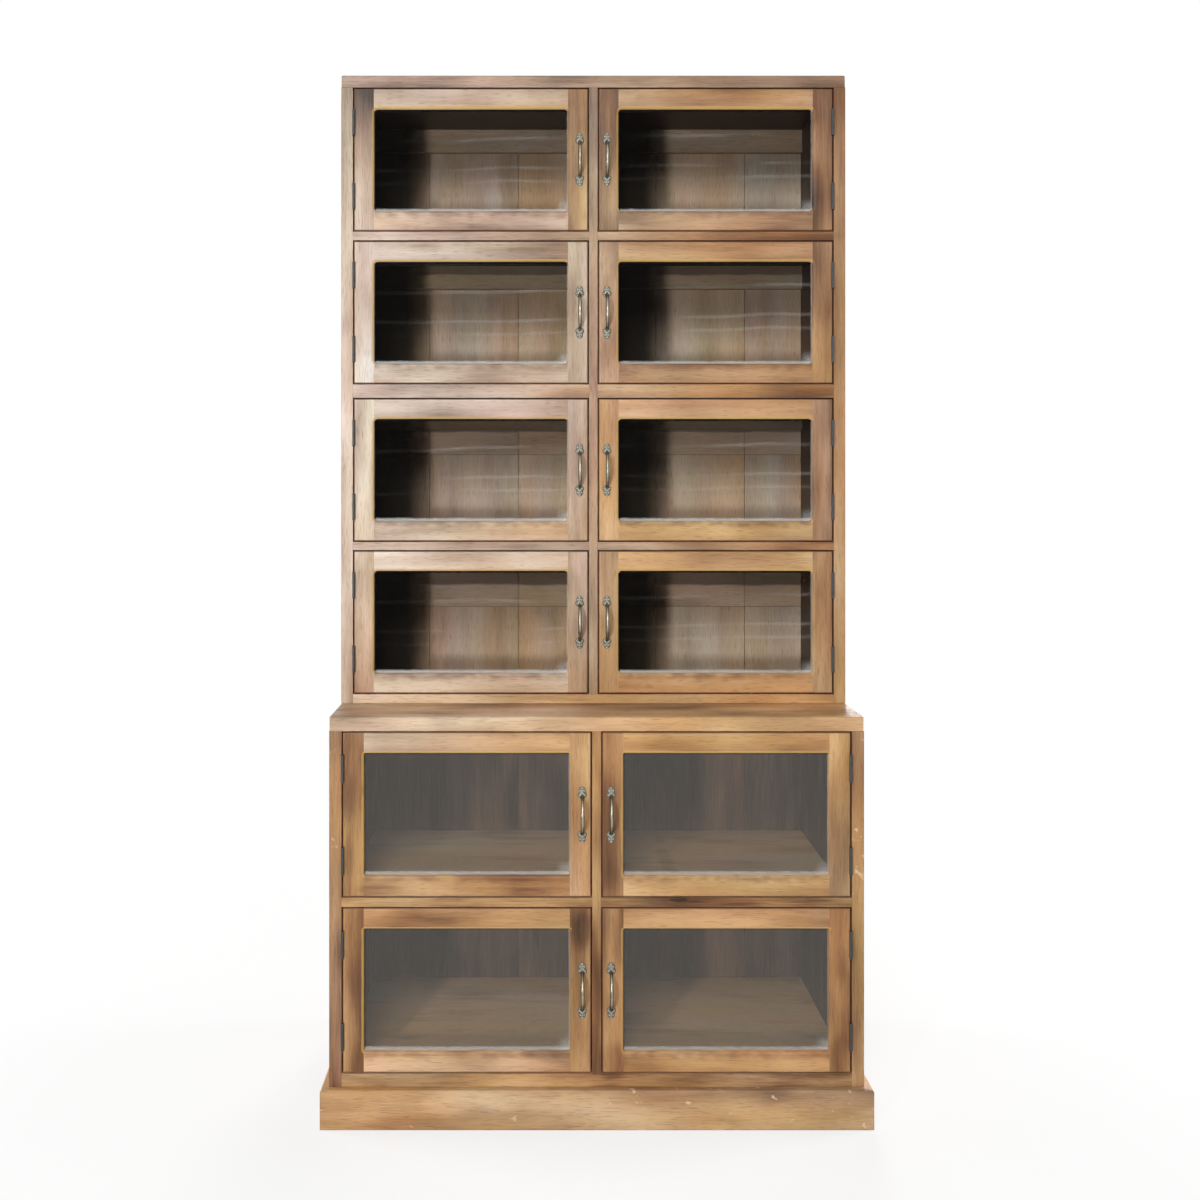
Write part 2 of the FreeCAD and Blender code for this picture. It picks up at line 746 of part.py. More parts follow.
def make_strike(door):
    return box(door.tag + "_strike", "catch_centre - strike_width / 2", door.rear,
               "%s - strike_drop - strike_height" % door.top,
               "strike_width", "strike_thick", "strike_height")


def make_catch(door):
    name = door.tag + "_catch"
    face = door.rear + " + strike_thick + catch_gap"
    ceiling = "%s + %s" % (door.floor, door.opening)
    case = box(name + "_case", "catch_centre - catch_width / 2", face,
               ceiling + " - catch_height", "catch_width", "catch_depth", "catch_height")
    magnet_sizes = ("catch_magnet_width", "catch_magnet_depth", "catch_magnet_height")
    magnet_at = ("catch_centre - catch_magnet_width / 2", face,
                 "%s - (catch_height + catch_magnet_height) / 2" % ceiling)
    seat = box(name + "_seat", *magnet_at, *magnet_sizes)
    magnet = box(name + "_magnet", *magnet_at, *magnet_sizes)
    return [cut(name, case, [seat]), magnet]


# Each size of door is made once, in the lowest opening on the left, lifted to its rows and
# mirrored to the right.

def make_doors(door, places):
    frame, pane = make_frame(door), make_pane(door)
    hinges = [make_hinge(door, "%s_hinge_%d" % (door.tag, number), under)
              for number, under in enumerate(hinge_unders(door.floor, door.opening), start=1)]
    frame_leaves = [hinge[0] for hinge in hinges]
    fittings = [make_pull(door), make_strike(door)] + [hinge[1] for hinge in hinges]
    catch = make_catch(door)
    nodes, fixed_leaves, catches = {}, [], []
    for row, under in enumerate(places, start=1):
        rise = "%s - %s" % (under, door.floor)
        for part, pieces in (("frame", frame), ("glass", [pane]), ("fittings", fittings)):
            label = "%s_%%s_door_%d_%s" % (door.tag, row, part)
            left = group(label % "left", pieces, rise)
            nodes[label % "left"] = left
            nodes[label % "right"] = mirrored(label % "right", left)
        fixed_leaves.append(group("%s_frame_leaves_%d" % (door.tag, row), frame_leaves, rise))
        catches.append(group("%s_catches_%d" % (door.tag, row), catch, rise))
    return nodes, fixed_leaves, catches


def both_sides(name, pieces):
    left = group(name + "_left_ones", pieces)
    return group(name, [left, mirrored(name + "_right_ones", left)])


def make_cabinet():
    upper = Door("upper", "upper_front", "upper_floor", "upper_opening")
    base = Door("base", "base_front", "base_floor", "base_opening")
    nodes = {}
    for carcass in (make_plinth(), make_base(), make_upper()):
        nodes.update(carcass)
    frame_leaves, catches = [], []
    for door, places in ((upper, upper_door_places), (base, base_door_places)):
        door_nodes, door_leaves, door_catches = make_doors(door, places)
        nodes.update(door_nodes)
        frame_leaves += door_leaves
        catches += door_catches
    nodes["hinge_frame_leaves"] = both_sides("all_frame_leaves", frame_leaves)
    nodes["door_catches"] = both_sides("all_catches", catches)
    return nodes


def export(nodes):
    doc.recompute()
    failed = [piece.Name for piece in doc.Objects
              if "Invalid" in piece.State or "Error" in piece.State]
    for label, piece in nodes.items():
        if piece.Shape.isNull() or not piece.Shape.isValid() or not piece.Shape.Solids:
            failed.append(label)
    if failed:
        raise RuntimeError("not built: " + ", ".join(failed))
    os.makedirs("parts", exist_ok=True)
    for label, piece in nodes.items():
        piece.Label = label
        piece.Shape.exportStep("parts/%s.step" % label)
    print(len(nodes), "nodes written")


export(make_cabinet())
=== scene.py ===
import bpy
import bmesh
import math
import random
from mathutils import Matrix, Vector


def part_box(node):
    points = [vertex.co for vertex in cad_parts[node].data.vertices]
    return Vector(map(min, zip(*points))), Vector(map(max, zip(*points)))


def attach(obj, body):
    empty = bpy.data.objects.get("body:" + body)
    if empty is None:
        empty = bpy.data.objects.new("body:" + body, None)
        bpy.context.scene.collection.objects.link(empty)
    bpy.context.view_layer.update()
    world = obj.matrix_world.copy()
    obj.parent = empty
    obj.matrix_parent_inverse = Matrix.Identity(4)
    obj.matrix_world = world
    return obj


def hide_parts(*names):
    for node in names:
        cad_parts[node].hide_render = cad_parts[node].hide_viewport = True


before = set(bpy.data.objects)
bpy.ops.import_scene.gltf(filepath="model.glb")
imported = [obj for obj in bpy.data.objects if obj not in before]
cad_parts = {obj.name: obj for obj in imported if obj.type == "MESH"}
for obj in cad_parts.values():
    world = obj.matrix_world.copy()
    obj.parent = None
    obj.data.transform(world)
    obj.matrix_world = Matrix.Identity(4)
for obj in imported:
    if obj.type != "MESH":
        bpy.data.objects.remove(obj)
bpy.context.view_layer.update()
mm = 0.001
doorGap = 2 * mm  # all round each door
print("frame loaded with", len(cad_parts), "nodes")


# Camera, lamps and floor

viewpoint = {"place": (-0.112, -2.5, 1.245), "lens": 35.4, "shift": (0.051, -0.0975)}

studio = {
    "lamps": {  # place, target, watts and width
        "key": ((-1.3, -3.0, 1.0), (0, 0, 0.9), 40, 0.26),
        "high": ((-0.55, -3.6, 2.9), (0, 0, 0.7), 61, 1.3),
        "top": ((0.4, -2.2, 4.3), (0, 0, 0.7), 8, 1.6),
        "leftFill": ((-3.2, 0.6, 1.6), (-0.5, 0, 1.0), 55, 1.4),
        "rightFill": ((3.2, 0.4, 1.6), (0.5, 0, 1.0), 70, 1.4),
        "backFill": ((0.6, 3.6, 2.0), (0, 0.2, 1.0), 110, 1.8),
    },
    "white": (1, 1, 1), "sky": 0.045, "floorColour": (0.9, 0.9, 0.9), "floorReach": 30,
    "floorLevel": -0.5 * mm, "floorLift": 0.72, "whiteFrom": 0.9, "whiteTo": 2.2,
}


class Wire:
    # a socket that sums can be written with: each sum adds its Math node

    def __init__(self, finish, socket):
        self.finish, self.socket = finish, socket

    def sum(self, operation, *others):
        return self.finish.add("Math", dict(enumerate((self, *others))),
                               operation=operation)

    def __add__(self, other):
        return self.sum("ADD", other)

    def __sub__(self, other):
        return self.sum("SUBTRACT", other)

    def __rsub__(self, other):
        return self.sum("MULTIPLY_ADD", -1.0, other)

    def __mul__(self, other):
        return self.sum("MULTIPLY", other)

    __radd__, __rmul__ = __add__, __mul__


class Finish:
    # a material or world while it is made up, node by node

    def __init__(self, name, owner=None):
        self.owner = owner or bpy.data.materials.new(name)
        self.owner.use_nodes = True
        self.tree = self.owner.node_tree
        self.tree.nodes.clear()

    def add(self, kind, sockets, out=0, **settings):
        node = self.tree.nodes.new("ShaderNode" + kind)
        for name, value in settings.items():
            if name == "stops":
                ramp = node.color_ramp.elements
                while len(ramp) < len(value):
                    ramp.new(0.5)
                for stop, (place, colour) in zip(ramp, value):
                    stop.position, stop.color = place, (*colour, 1)
            else:
                setattr(node, name, value)
        for name, value in sockets.items():
            if isinstance(value, Wire):
                self.tree.links.new(value.socket, node.inputs[name])
            elif isinstance(value, tuple) and node.inputs[name].type == "RGBA":
                node.inputs[name].default_value = (*value, 1)
            else:
                node.inputs[name].default_value = value
        if isinstance(out, tuple):
            return [Wire(self, node.outputs[o]) for o in out]
        return Wire(self, node.outputs[out])

    def place(self, out="Object"):
        return self.add("TexCoord", {}, out)

    def split(self, value, out=(0, 1, 2)):
        return self.add("SeparateXYZ", {0: value}, out)

    def joined(self, *values):
        return self.add("CombineXYZ", dict(enumerate(values)))

    def vector(self, operation, *values, out=0):
        return self.add("VectorMath", dict(enumerate(values)), out,
                        operation=operation)

    def noise(self, place, stretch, detail=2.0, roughness=0.5):
        return self.add("TexNoise", {
            "Vector": self.vector("MULTIPLY", place, stretch), "Scale": 1.0,
            "Detail": detail, "Roughness": roughness})

    def ease(self, value, low, high, start=0.0, end=1.0):
        return self.add("MapRange", {
            "Value": value, "From Min": low, "From Max": high, "To Min": start, "To Max": end},
            interpolation_type="SMOOTHSTEP")

    def mix(self, share, first, second):
        return self.add("Mix", {0: share, 6: first, 7: second}, 2, data_type="RGBA")

    def ramp(self, stops, level):
        return self.add("ValToRGB", {0: level}, stops=stops)

    def bump(self, height, strength, distance):
        return self.add("Bump", {
            "Strength": strength, "Distance": distance, "Height": height})

    def shaders(self, share, first, second):
        return self.add("MixShader", {0: share, 1: first, 2: second})

    def done(self, shader, kind="OutputMaterial"):
        output = self.tree.nodes.new("ShaderNode" + kind)
        self.tree.links.new(shader.socket, output.inputs[0])
        return self.owner


def gather(operation, wires):
    # several wires made into one, such as their sum or the greatest of them
    whole = wires[0]
    for wire in wires[1:]:
        whole = whole.sum(operation, wire)
    return whole


def nearest(value, levels):
    # how far value lies from the nearest of the levels
    return gather("MINIMUM", [off.sum("ABSOLUTE") for off in [value - level for level in levels]])


def placed(name, data):
    thing = bpy.data.objects.new(name, data)
    bpy.context.scene.collection.objects.link(thing)
    return thing


def areaLamp(name, place, target, watts, across):
    light = bpy.data.lights.new(name, "AREA")
    light.shape, light.size, light.energy = "DISK", across, watts
    lamp = placed(name, light)
    lamp.location = place
    direction = Vector(target) - Vector(place)
    lamp.rotation_euler = direction.to_track_quat("-Z", "Y").to_euler()


def seenRays(finish):
    # 1 for the rays that meet the background: straight, mirrored or through glass
    return gather("MAXIMUM", finish.add("LightPath", {}, (
        "Is Camera Ray", "Is Glossy Ray", "Is Transmission Ray")))


def flatSheet(name, reach, height):
    mesh, ends = bpy.data.meshes.new(name), (-reach, reach)
    mesh.from_pydata([(x, y, height) for y in ends for x in ends], [], [(0, 1, 3, 2)])
    return placed(name, mesh)


def setStudio():
    look = studio
    camera = bpy.data.cameras.new("camera")
    camera.lens = viewpoint["lens"]
    camera.shift_x, camera.shift_y = viewpoint["shift"]
    holder = placed("camera", camera)
    holder.location = viewpoint["place"]
    holder.rotation_euler = (math.pi / 2, 0, 0)
    bpy.context.scene.camera = holder
    bpy.context.scene.view_settings.view_transform = "Standard"
    for name, (place, target, watts, across) in look["lamps"].items():
        areaLamp(name, place, target, watts, across)

    world = bpy.data.worlds.new("studioWorld")
    bpy.context.scene.world = world
    sky = Finish("sky", world)
    level = sky.ease(seenRays(sky), 0, 1, look["sky"], 1.0)
    sky.done(sky.add("Background", {"Color": look["white"], "Strength": level}),
             "OutputWorld")

    paper = Finish("floorPaper")
    far = paper.ease(paper.vector("LENGTH", paper.place(), out=1),
                     look["whiteFrom"], look["whiteTo"], look["floorLift"], 1.0)
    matte = paper.add("BsdfDiffuse", {"Color": look["floorColour"]})
    white = paper.add("Emission", {"Color": look["white"], "Strength": 1.0})
    floor = flatSheet("floor", look["floorReach"], look["floorLevel"])
    floor.data.materials.append(paper.done(paper.shaders(seenRays(paper) * far, matte, white)))


setStudio()
print("camera, lamps and floor set")


# Wood, glass and metal

amber = [(0.0, (0.03, 0.012, 0.005)), (0.25, (0.19, 0.082, 0.03)),
         (0.5, (0.42, 0.224, 0.09)), (0.75, (0.6, 0.35, 0.155)), (1.0, (0.76, 0.49, 0.25))]
ash = [(0.0, (0.045, 0.03, 0.022)), (0.25, (0.22, 0.15, 0.105)), (0.5, (0.46, 0.335, 0.25)),
       (0.75, (0.65, 0.52, 0.42)), (1.0, (0.8, 0.7, 0.61))]

figure = {  # how closely each mark repeats along the grain and across it, detail and roughness
    "streaks": ((1.9, 16, 16), 3.0, 0.55), "smudges": ((6, 13, 13), 1.0),
    "rings": ((0.8, 6, 6), 1.0), "fibre": ((13, 330, 330), 2.0, 0.6),
    "pores": ((45, 850, 850), 0.0), "stain": ((4, 10, 10), 2.0, 0.6),
    "drift": ((1.7, 5, 5), 1.0), "blush": ((2.6, 9, 9), 1.0), "honey": ((1.2, 15, 15),),
    "flecks": ((48, 48, 70), 2.0, 0.6), "fleckGroups": ((7, 7, 7), 1.0),
    "wear": ((35, 60, 60), 1.0),
}
oiled = {
    "streaks": 1.1, "smudges": 0.75, "rings": 0.05, "ringCount": 38, "fibre": 0.24, "pores": 0.3,
    "stain": 0.45, "stainFrom": 0.58, "stainTo": 0.78, "warmSpread": 1.5, "gloss": 0.4,
    "shine": 0.3, "relief": 0.35 * mm,
    "stainColour": (0.1, 0.055, 0.033), "poreColour": (0.08, 0.04, 0.02),
    "edge": 0.8, "edgeColour": (0.16, 0.065, 0.03), "gold": 0.65,
    # pale and paleColour: a painted highlight, mostly on the door sills
    "goldColour": (0.62, 0.38, 0.1), "pale": 0.6, "paleColour": (0.7, 0.58, 0.46),
    "blush": 0.36, "honey": 0.46, "sun": 1.0,
    "flecks": 0.0, "fleckColour": (0.78, 0.6, 0.38), "flecksBefore": -0.21,
}
knocked = dict(oiled, flecks=0.75)
inside = dict(oiled, streaks=1.5, smudges=0.9, fibre=0.5, stain=0.4)
broad = dict(oiled, smudges=0.45, stain=0.3, flecks=0.7)
rawBack = dict(oiled, sun=0.0, streaks=0.5, smudges=0.35, fibre=0.3, gloss=0.6, edge=0.5,
               stain=0.25, rings=0.03, edgeColour=(0.12, 0.07, 0.045), shine=0.06)
stillBack = dict(rawBack, streaks=0.25, smudges=0.3, warmSpread=0.6, stain=0.12)
# upper back boards that carry painted shade
shadedBayBack = dict(rawBack, sooty=True)

paintedSheenAndShade = {  # painted sheen, paler and greyer about the upper left, and painted shade on the top of the case
    "from": (-0.56, 0, 1.55), "spread": (2.9, 0, 2.0), "lift": 0.55, "sheenBand": (0.2, 1.2),
    "cool": 0.7, "coolBand": (0.25, 2.4), "topBand": (1.45, 2.05), "topLoss": 0.2,
}
stains = [  # middle x and z, half width and height, change of level
    (0.33, 1.753, 0.19, 0.016, -0.17), (-0.347, 1.729, 0.04, 0.012, -0.16),
    (0.031, 0.125, 0.03, 0.045, -0.16), (-0.027, 0.38, 0.025, 0.045, -0.17),
    (0.475, 0.135, 0.03, 0.05, -0.13), (-0.42, 0.458, 0.05, 0.012, -0.14),
    (-0.13, 0.452, 0.05, 0.01, -0.15), (0.159, 0.44, 0.018, 0.008, -0.2),
    (0.506, 0.25, 0.02, 0.17, -0.18), (-0.09, 0.793, 0.08, 0.006, 0.14),
    (0.26, 1.115, 0.24, 0.012, 0.2),
]
stainEdge = (0.4, 1.2)


def stainsAndTopShade(finish, place):
    # painted shade that darkens the top, and a few stains, spots that have marks of their own
    change = finish.ease(finish.split(place, 2), *paintedSheenAndShade["topBand"], 0.0, -paintedSheenAndShade["topLoss"])
    for x, z, wide, high, step in stains:
        off = finish.vector("MULTIPLY_ADD", place, (1 / wide, 0, 1 / high),
                            (-x / wide, 0, -z / high))
        change += finish.ease(finish.vector("LENGTH", off, out=1), *stainEdge, step, 0.0)
    return change


def oiledWood(finish, place, grain, marks, touches, look, shade=None):
    # grain runs along the first axis of its own; marks are tone and warmth,
    # touches the shares of dark edge, gold moulding and pale sill (a painted highlight)
    def mark(name, where=grain):
        return finish.noise(where, *figure[name])

    tone, warmth = marks
    # painted sheen: paler and greyer wood about the upper left, where the left lamp's sheen falls
    sheenLevel = finish.vector("SUBTRACT", place, paintedSheenAndShade["from"])
    sheenLevel = finish.vector("MULTIPLY", sheenLevel, paintedSheenAndShade["spread"])
    sheenLevel = finish.vector("LENGTH", sheenLevel, out=1)
    sheenGrey = finish.ease(sheenLevel, *paintedSheenAndShade["coolBand"], 1, 0)
    sheenLevel = finish.ease(sheenLevel, *paintedSheenAndShade["sheenBand"], 1, 0)
    streaks = mark("streaks") - 0.5
    smudges = mark("smudges") - 0.5
    bed = mark("rings") * look["ringCount"]
    fibre = mark("fibre") - 0.5
    pores = finish.ease(mark("pores"), 0.62, 0.74)
    stain = finish.ease(mark("stain"), look["stainFrom"], look["stainTo"])
    drift = mark("drift") - 0.5
    level = (streaks * look["streaks"] + smudges * look["smudges"]
             + bed.sum("SINE") * look["rings"] + fibre * look["fibre"]
             + (tone + sheenLevel * (paintedSheenAndShade["lift"] * look["sun"])) * 0.5 + 0.5)
    if look["sun"]:
        level += stainsAndTopShade(finish, place)
    warm = drift * look["warmSpread"] + warmth - sheenGrey * (paintedSheenAndShade["cool"] * look["sun"])
    warm = warm.sum("MAXIMUM", 0.0).sum("MINIMUM", 1.0)
    colour = finish.mix(warm, finish.ramp(ash, level), finish.ramp(amber, level))
    red = (mark("blush") - 0.5) * look["blush"] + 1
    blue = 1 - (mark("honey") - 0.5) * look["honey"]
    colour = finish.vector("MULTIPLY", colour, finish.joined(red, 1.0, blue))
    colour = finish.mix(stain * look["stain"], colour, look["stainColour"])
    colour = finish.mix(pores * look["pores"], colour, look["poreColour"])
    if look["flecks"]:
        flecks = finish.ease(mark("flecks", place), 0.64, 0.7)
        flecks *= finish.ease(mark("fleckGroups", place), 0.45, 0.6)
        flecks *= finish.split(place, 1).sum("LESS_THAN", look["flecksBefore"])
        colour = finish.mix(flecks * look["flecks"], colour, look["fleckColour"])
    for share, name in zip(touches, ("edge", "gold", "pale")):
        if share is not None:
            colour = finish.mix(share * look[name], colour, look[name + "Colour"])
    # painted shade: near black mixed over the wood where the bays lie in shade
    if shade is not None:
        colour = finish.mix(shade * paintedShade["share"], colour, paintedShade["colour"])
    return finish.add("BsdfPrincipled", {
        "Base Color": colour, "Roughness": streaks * -0.15 + pores * 0.15 + look["gloss"],
        "Normal": finish.bump(fibre - pores * 0.6, 0.5, look["relief"]),
        "Specular IOR Level": look["shine"]})


axisOrder = {"x": (0, 1, 2), "y": (1, 0, 2), "z": (2, 0, 1)}
boardEdge = {"ragged": (40, 40, 40), "sway": 2 * mm, "band": (0.7 * mm, 2.3 * mm)}


def boardFinish(name, along, planes, marks, seed, look, seams, paintedLightByFacing):
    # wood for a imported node, laid out from its own place in the cabinet
    finish = Finish(name)
    tone, warmth, paintedLightSlope, paintedSheenSlope = (*marks, 0, 0)[:4]
    place, normal = finish.place(("Object", "Normal"))
    axes = finish.split(place)
    a, b, c = [nearest(axis, levels) for axis, levels in zip(axes, planes)]
    second = gather("MAXIMUM", [a.sum("MINIMUM", b), a.sum("MAXIMUM", b).sum("MINIMUM", c)])
    ragged = finish.noise(place, boardEdge["ragged"]) * boardEdge["sway"]
    edge = finish.ease(second + ragged, *boardEdge["band"], 1, 0)
    order = axisOrder[along]
    lengthwise, across = axes[order[0]] + seed * 3.7, axes[order[1]] + seed * 1.3
    toneHere, warmHere = axes[0] * paintedLightSlope + tone, axes[0] * paintedSheenSlope + warmth
    if seams:  # each board past a seam has wood of its own
        axis, levels = seams
        board = gather("ADD", [axes[axis].sum("GREATER_THAN", level) for level in levels])
        lengthwise += board * 2.3
        across += board * 0.37
        swing = (board * 2.1 + seed).sum("SINE")
        toneHere, warmHere = swing * 0.12 + toneHere, swing * 0.15 + warmHere
    grain = finish.joined(lengthwise, across, axes[order[2]])
    if "sooty" in look and along == "z":
        grain, edge = crossBoards(finish, axes, grain, edge, seed)
    # painted light and shade: faces turned one way made lighter or darker
    for way, change in paintedLightByFacing:
        facing = finish.vector("DOT_PRODUCT", normal, way, out=1)
        toneHere += finish.ease(facing, 0.5, 0.9) * change
    shade = paintedShadeShare(finish, place, axes) if "sooty" in look else None
    return finish.done(oiledWood(finish, place, grain, (toneHere, warmHere), (edge,), look,
                                 shade))


bays = [  # floor and ceiling of the upper bays, from the doors that close them
    (low.z - doorGap, high.z + doorGap)
    for low, high in [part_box("upper_left_door_%d_frame" % row) for row in (1, 2, 3, 4)]]
bayLeft = (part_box("upper_left_side")[1].x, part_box("upper_divider")[1].x)
# painted shade: the near-black colour and where it lies on the front of the upper back boards
paintedShade = {
    "colour": (0.008, 0.007, 0.006), "share": 0.95, "front": 0.236, "ragged": (14, 14, 14),
    "corners": (0.117, 0.165), "cornerSoft": 45 * mm, "cornerSway": 20 * mm, "behind": 12 * mm,
    "under": {2: 23 * mm, 3: 60 * mm, 4: 100 * mm}, "underSway": 8 * mm,
    "underSoft": (-4 * mm, 6 * mm), "underShare": 0.8,
    "dusk": 0.42, "duskBand": (0.19, 0.04), "duskSway": 30 * mm,
}
levelBoards = {"drops": {3: 109.4 * mm, 4: 147.5 * mm}, "line": (0.4 * mm, 1.4 * mm)}


def crossBoards(finish, axes, grain, edge, seed):
    # level boards over the upright planks at the head of the two lower bays
    x, y, z = axes
    front = y.sum("LESS_THAN", paintedShade["front"])
    spans = [(bays[row - 1][1] - drop, bays[row - 1][1])
             for row, drop in levelBoards["drops"].items()]
    cover = gather("ADD", [z.sum("GREATER_THAN", low) * z.sum("LESS_THAN", high)
                           for low, high in spans]) * front
    line = finish.ease(nearest(z, [low for low, high in spans]), *levelBoards["line"], 1, 0)
    flat = finish.joined(x + seed * 3.3, z, y)
    grain = finish.add("Mix", {0: cover, 4: grain, 5: flat}, 1, data_type="VECTOR")
    return grain, (edge * (1 - cover)).sum("MAXIMUM", line * front)


def paintedShadeShare(finish, place, axes):
    # painted shade: the left corner of each bay darkened, and a painted shadow under the board
    # above it
    look, (x, y, z) = paintedShade, axes
    ragged = finish.noise(place, look["ragged"]) - 0.5
    masks = []
    for corner, wide in zip(bayLeft, look["corners"]):
        mask = finish.ease(x - corner + ragged * look["cornerSway"], wide - look["cornerSoft"],
                           wide + look["cornerSoft"], 1, 0)
        masks.append(mask * x.sum("GREATER_THAN", corner - look["behind"]))
    for row, (_, ceiling) in enumerate(bays, 1):
        if row in look["under"]:
            fades = [ceiling - look["under"][row] + soft for soft in look["underSoft"]]
            mask = finish.ease(z + ragged * look["underSway"], *fades, 0.0, look["underShare"])
            masks.append(mask * z.sum("LESS_THAN", ceiling + mm))
        fades = [ceiling - drop for drop in look["duskBand"]]
        mask = finish.ease(z + ragged * look["duskSway"], *fades, 0.0, look["dusk"])
        masks.append(mask * z.sum("LESS_THAN", ceiling))
    return gather("MAXIMUM", masks) * y.sum("LESS_THAN", look["front"])


def memberFinish(name):
    # wood for pieces made here, which carry their own grain, tone and touches
    finish = Finish(name)
    grain, mark, touch = [finish.add("Attribute", {}, "Vector", attribute_name=label)
                          for label in ("grain", "mark", "touch")]
    tone, warmth, edge = finish.split(mark)
    gold, pale = finish.split(touch, (0, 1))
    ragged = finish.noise(grain, *figure["wear"]) - 0.5
    return finish.done(oiledWood(finish, finish.place(), grain, (tone, warmth), (
        finish.ease(edge + ragged * 0.5, 0.35, 0.8), finish.ease(gold + ragged, 0.3, 0.9),
        finish.ease(pale + ragged, 0.3, 0.9)), oiled))


# paintedShadow is the share of painted shadow on each glass, streak the share of painted
# reflection lines
panes = {
    "upper": {"calm": 0.036, "dust": 0.002, "streak": 0.05, "mist": 0.4, "paintedShadow": 0.85,
              "tint": (0.8, 0.79, 0.77), "mirror": (0.9, 0.97, 1.0)},
    "base": {"calm": 0.0, "dust": 0.012, "streak": 0.0, "mist": 0.5, "paintedShadow": 0.3,
             "tint": (0.6, 0.6, 0.59), "mirror": (1.0, 0.95, 0.88)},
}
film = {  # where each film on the glass is full and where it ends, from its line or rim
    "lineAt": (0.27, 0.56, 0.69), "line": (0.4 * mm, 5.5 * mm), "lineFaint": (60 * mm, 180 * mm),
    "foot": (1.5 * mm, 7.5 * mm), "smudge": (4 * mm, 30 * mm), "side": (0.5 * mm, 3 * mm),
    "head": (2 * mm, 5 * mm),
    "left": (1 * mm, 4 * mm), "ragged": (60, 0, 60), "sway": 3 * mm, "footSway": 4 * mm,
    "bend": (5, 0, 2), "bendHigh": 18 * mm, "slope": 0.02, "lineBreaks": (5, 0, 9),
    "glass": (0.97, 0.97, 0.96), "shadowSheet": (0.012, 0.011, 0.009), "gloss": 0.04, "index": 1.45,
}


def paneFinish(name, look, rims):
    # clear glass with a mirror that grows towards a low angle, faint pale lines that paint
    # streaks of reflection, a painted shadow under the upper moulding and down the left side, and
    # a pale mist of dust along the foot
    finish = Finish(name)
    place = finish.place()
    x, y, z = finish.split(place)
    ragged = finish.noise(place, film["ragged"], 3.0) - 0.5
    bend = (finish.noise(place, film["bend"], 1.0) - 0.5) * film["bendHigh"] - x * film["slope"]
    inward, corner = nearest(x, rims["left"]), nearest(x, rims["right"])
    # painted reflection: faint pale lines at set heights in each pane
    streak = finish.ease(nearest(z + bend, rims["reflectedStreakLevels"]), *film["line"], 1, 0)
    streak *= finish.ease(finish.noise(place, film["lineBreaks"]), 0.36, 0.6)
    streak *= finish.ease(inward, *film["lineFaint"], 0.1, 1.0)
    foot = nearest(z, rims["foot"]) + ragged * film["footSway"]
    smudge = finish.ease(corner, *film["smudge"], 0.5, 0.0)
    smudge *= finish.ease(foot, *film["smudge"], 1, 0)
    mist = gather("MAXIMUM", [
        finish.ease(foot, *film["foot"], 1, 0),
        finish.ease(corner + ragged * film["sway"], *film["side"], 0.4, 0.0)])
    mist += smudge * (ragged * 2 + 1)
    # painted shadow: near black along the head and down the left side of each pane
    paintedShadow = gather("MAXIMUM", [
        finish.ease(nearest(z, rims["head"]) + ragged * film["sway"], *film["head"], 1, 0),
        finish.ease(inward + ragged * film["sway"], *film["left"], 1, 0)])
    clear = finish.add("BsdfTransparent", {"Color": film["glass"]})
    dust = finish.add("BsdfDiffuse", {"Color": look["tint"]})
    shadowSheet = finish.add("BsdfDiffuse", {"Color": film["shadowSheet"]})
    mirror = finish.add("BsdfAnisotropic", {
        "Color": look["mirror"], "Roughness": film["gloss"]})
    edgeOn = finish.add("Fresnel", {"IOR": film["index"]})
    cover = streak * look["streak"] + mist * look["mist"] + look["dust"]
    body = finish.shaders(paintedShadow * look["paintedShadow"], finish.shaders(cover, clear, dust), shadowSheet)
    shine = (edgeOn - look["calm"]).sum("MAXIMUM", 0.0)
    return finish.done(finish.shaders(shine, body, mirror))


metals = {  # bright, dull and spot colours, roughness and share of bare metal
    "antiqueBrass": ((0.36, 0.32, 0.24), (0.032, 0.025, 0.016), (0.1, 0.1, 0.07), 0.32, 0.8),
    "greyBronze": ((0.42, 0.42, 0.35), (0.13, 0.125, 0.095), (0.2, 0.22, 0.18), 0.45, 0.5),
    "blackIron": ((0.05, 0.05, 0.048), (0.008, 0.008, 0.008), (0.03, 0.02, 0.014), 0.55, 0.3),
    "plainSteel": ((0.45, 0.45, 0.44), (0.22, 0.22, 0.21), (0.3, 0.26, 0.22), 0.35, 1.0),
}
cast = {"mottle": (260, 260, 260), "spots": (95, 95, 95), "relief": 0.3 * mm}
plastic = {"speckle": (700, 700, 700), "dark": (0.2, 0.18, 0.16), "pale": (0.3, 0.28, 0.25),
           "relief": 0.2 * mm}


def metalFinish(name, bright, dull, spot, gloss, metallic):
    # bright where a hand rubs it (rim near 1), dull in the hollows; on the bow the rim
    # is a painted highlight along its front and painted shade on its sides and at its feet
    finish = Finish(name)
    place = finish.place()
    mark = finish.add("Attribute", {}, "Vector", attribute_name="mark")
    mottle = finish.noise(place, cast["mottle"], 3.0, 0.6)
    spots = finish.ease(finish.noise(place, cast["spots"]), 0.56, 0.7)
    share = finish.ease(finish.split(mark, 2) + mottle * 0.7, 0.45, 1.15)
    colour = finish.mix(share, dull, bright)
    return finish.done(finish.add("BsdfPrincipled", {
        "Base Color": finish.mix(spots * 0.5, colour, spot),
        "Roughness": (1 - share) * 0.25 + mottle * 0.15 + (gloss - 0.08),
        "Normal": finish.bump(mottle, 0.35, cast["relief"]), "Metallic": metallic}))


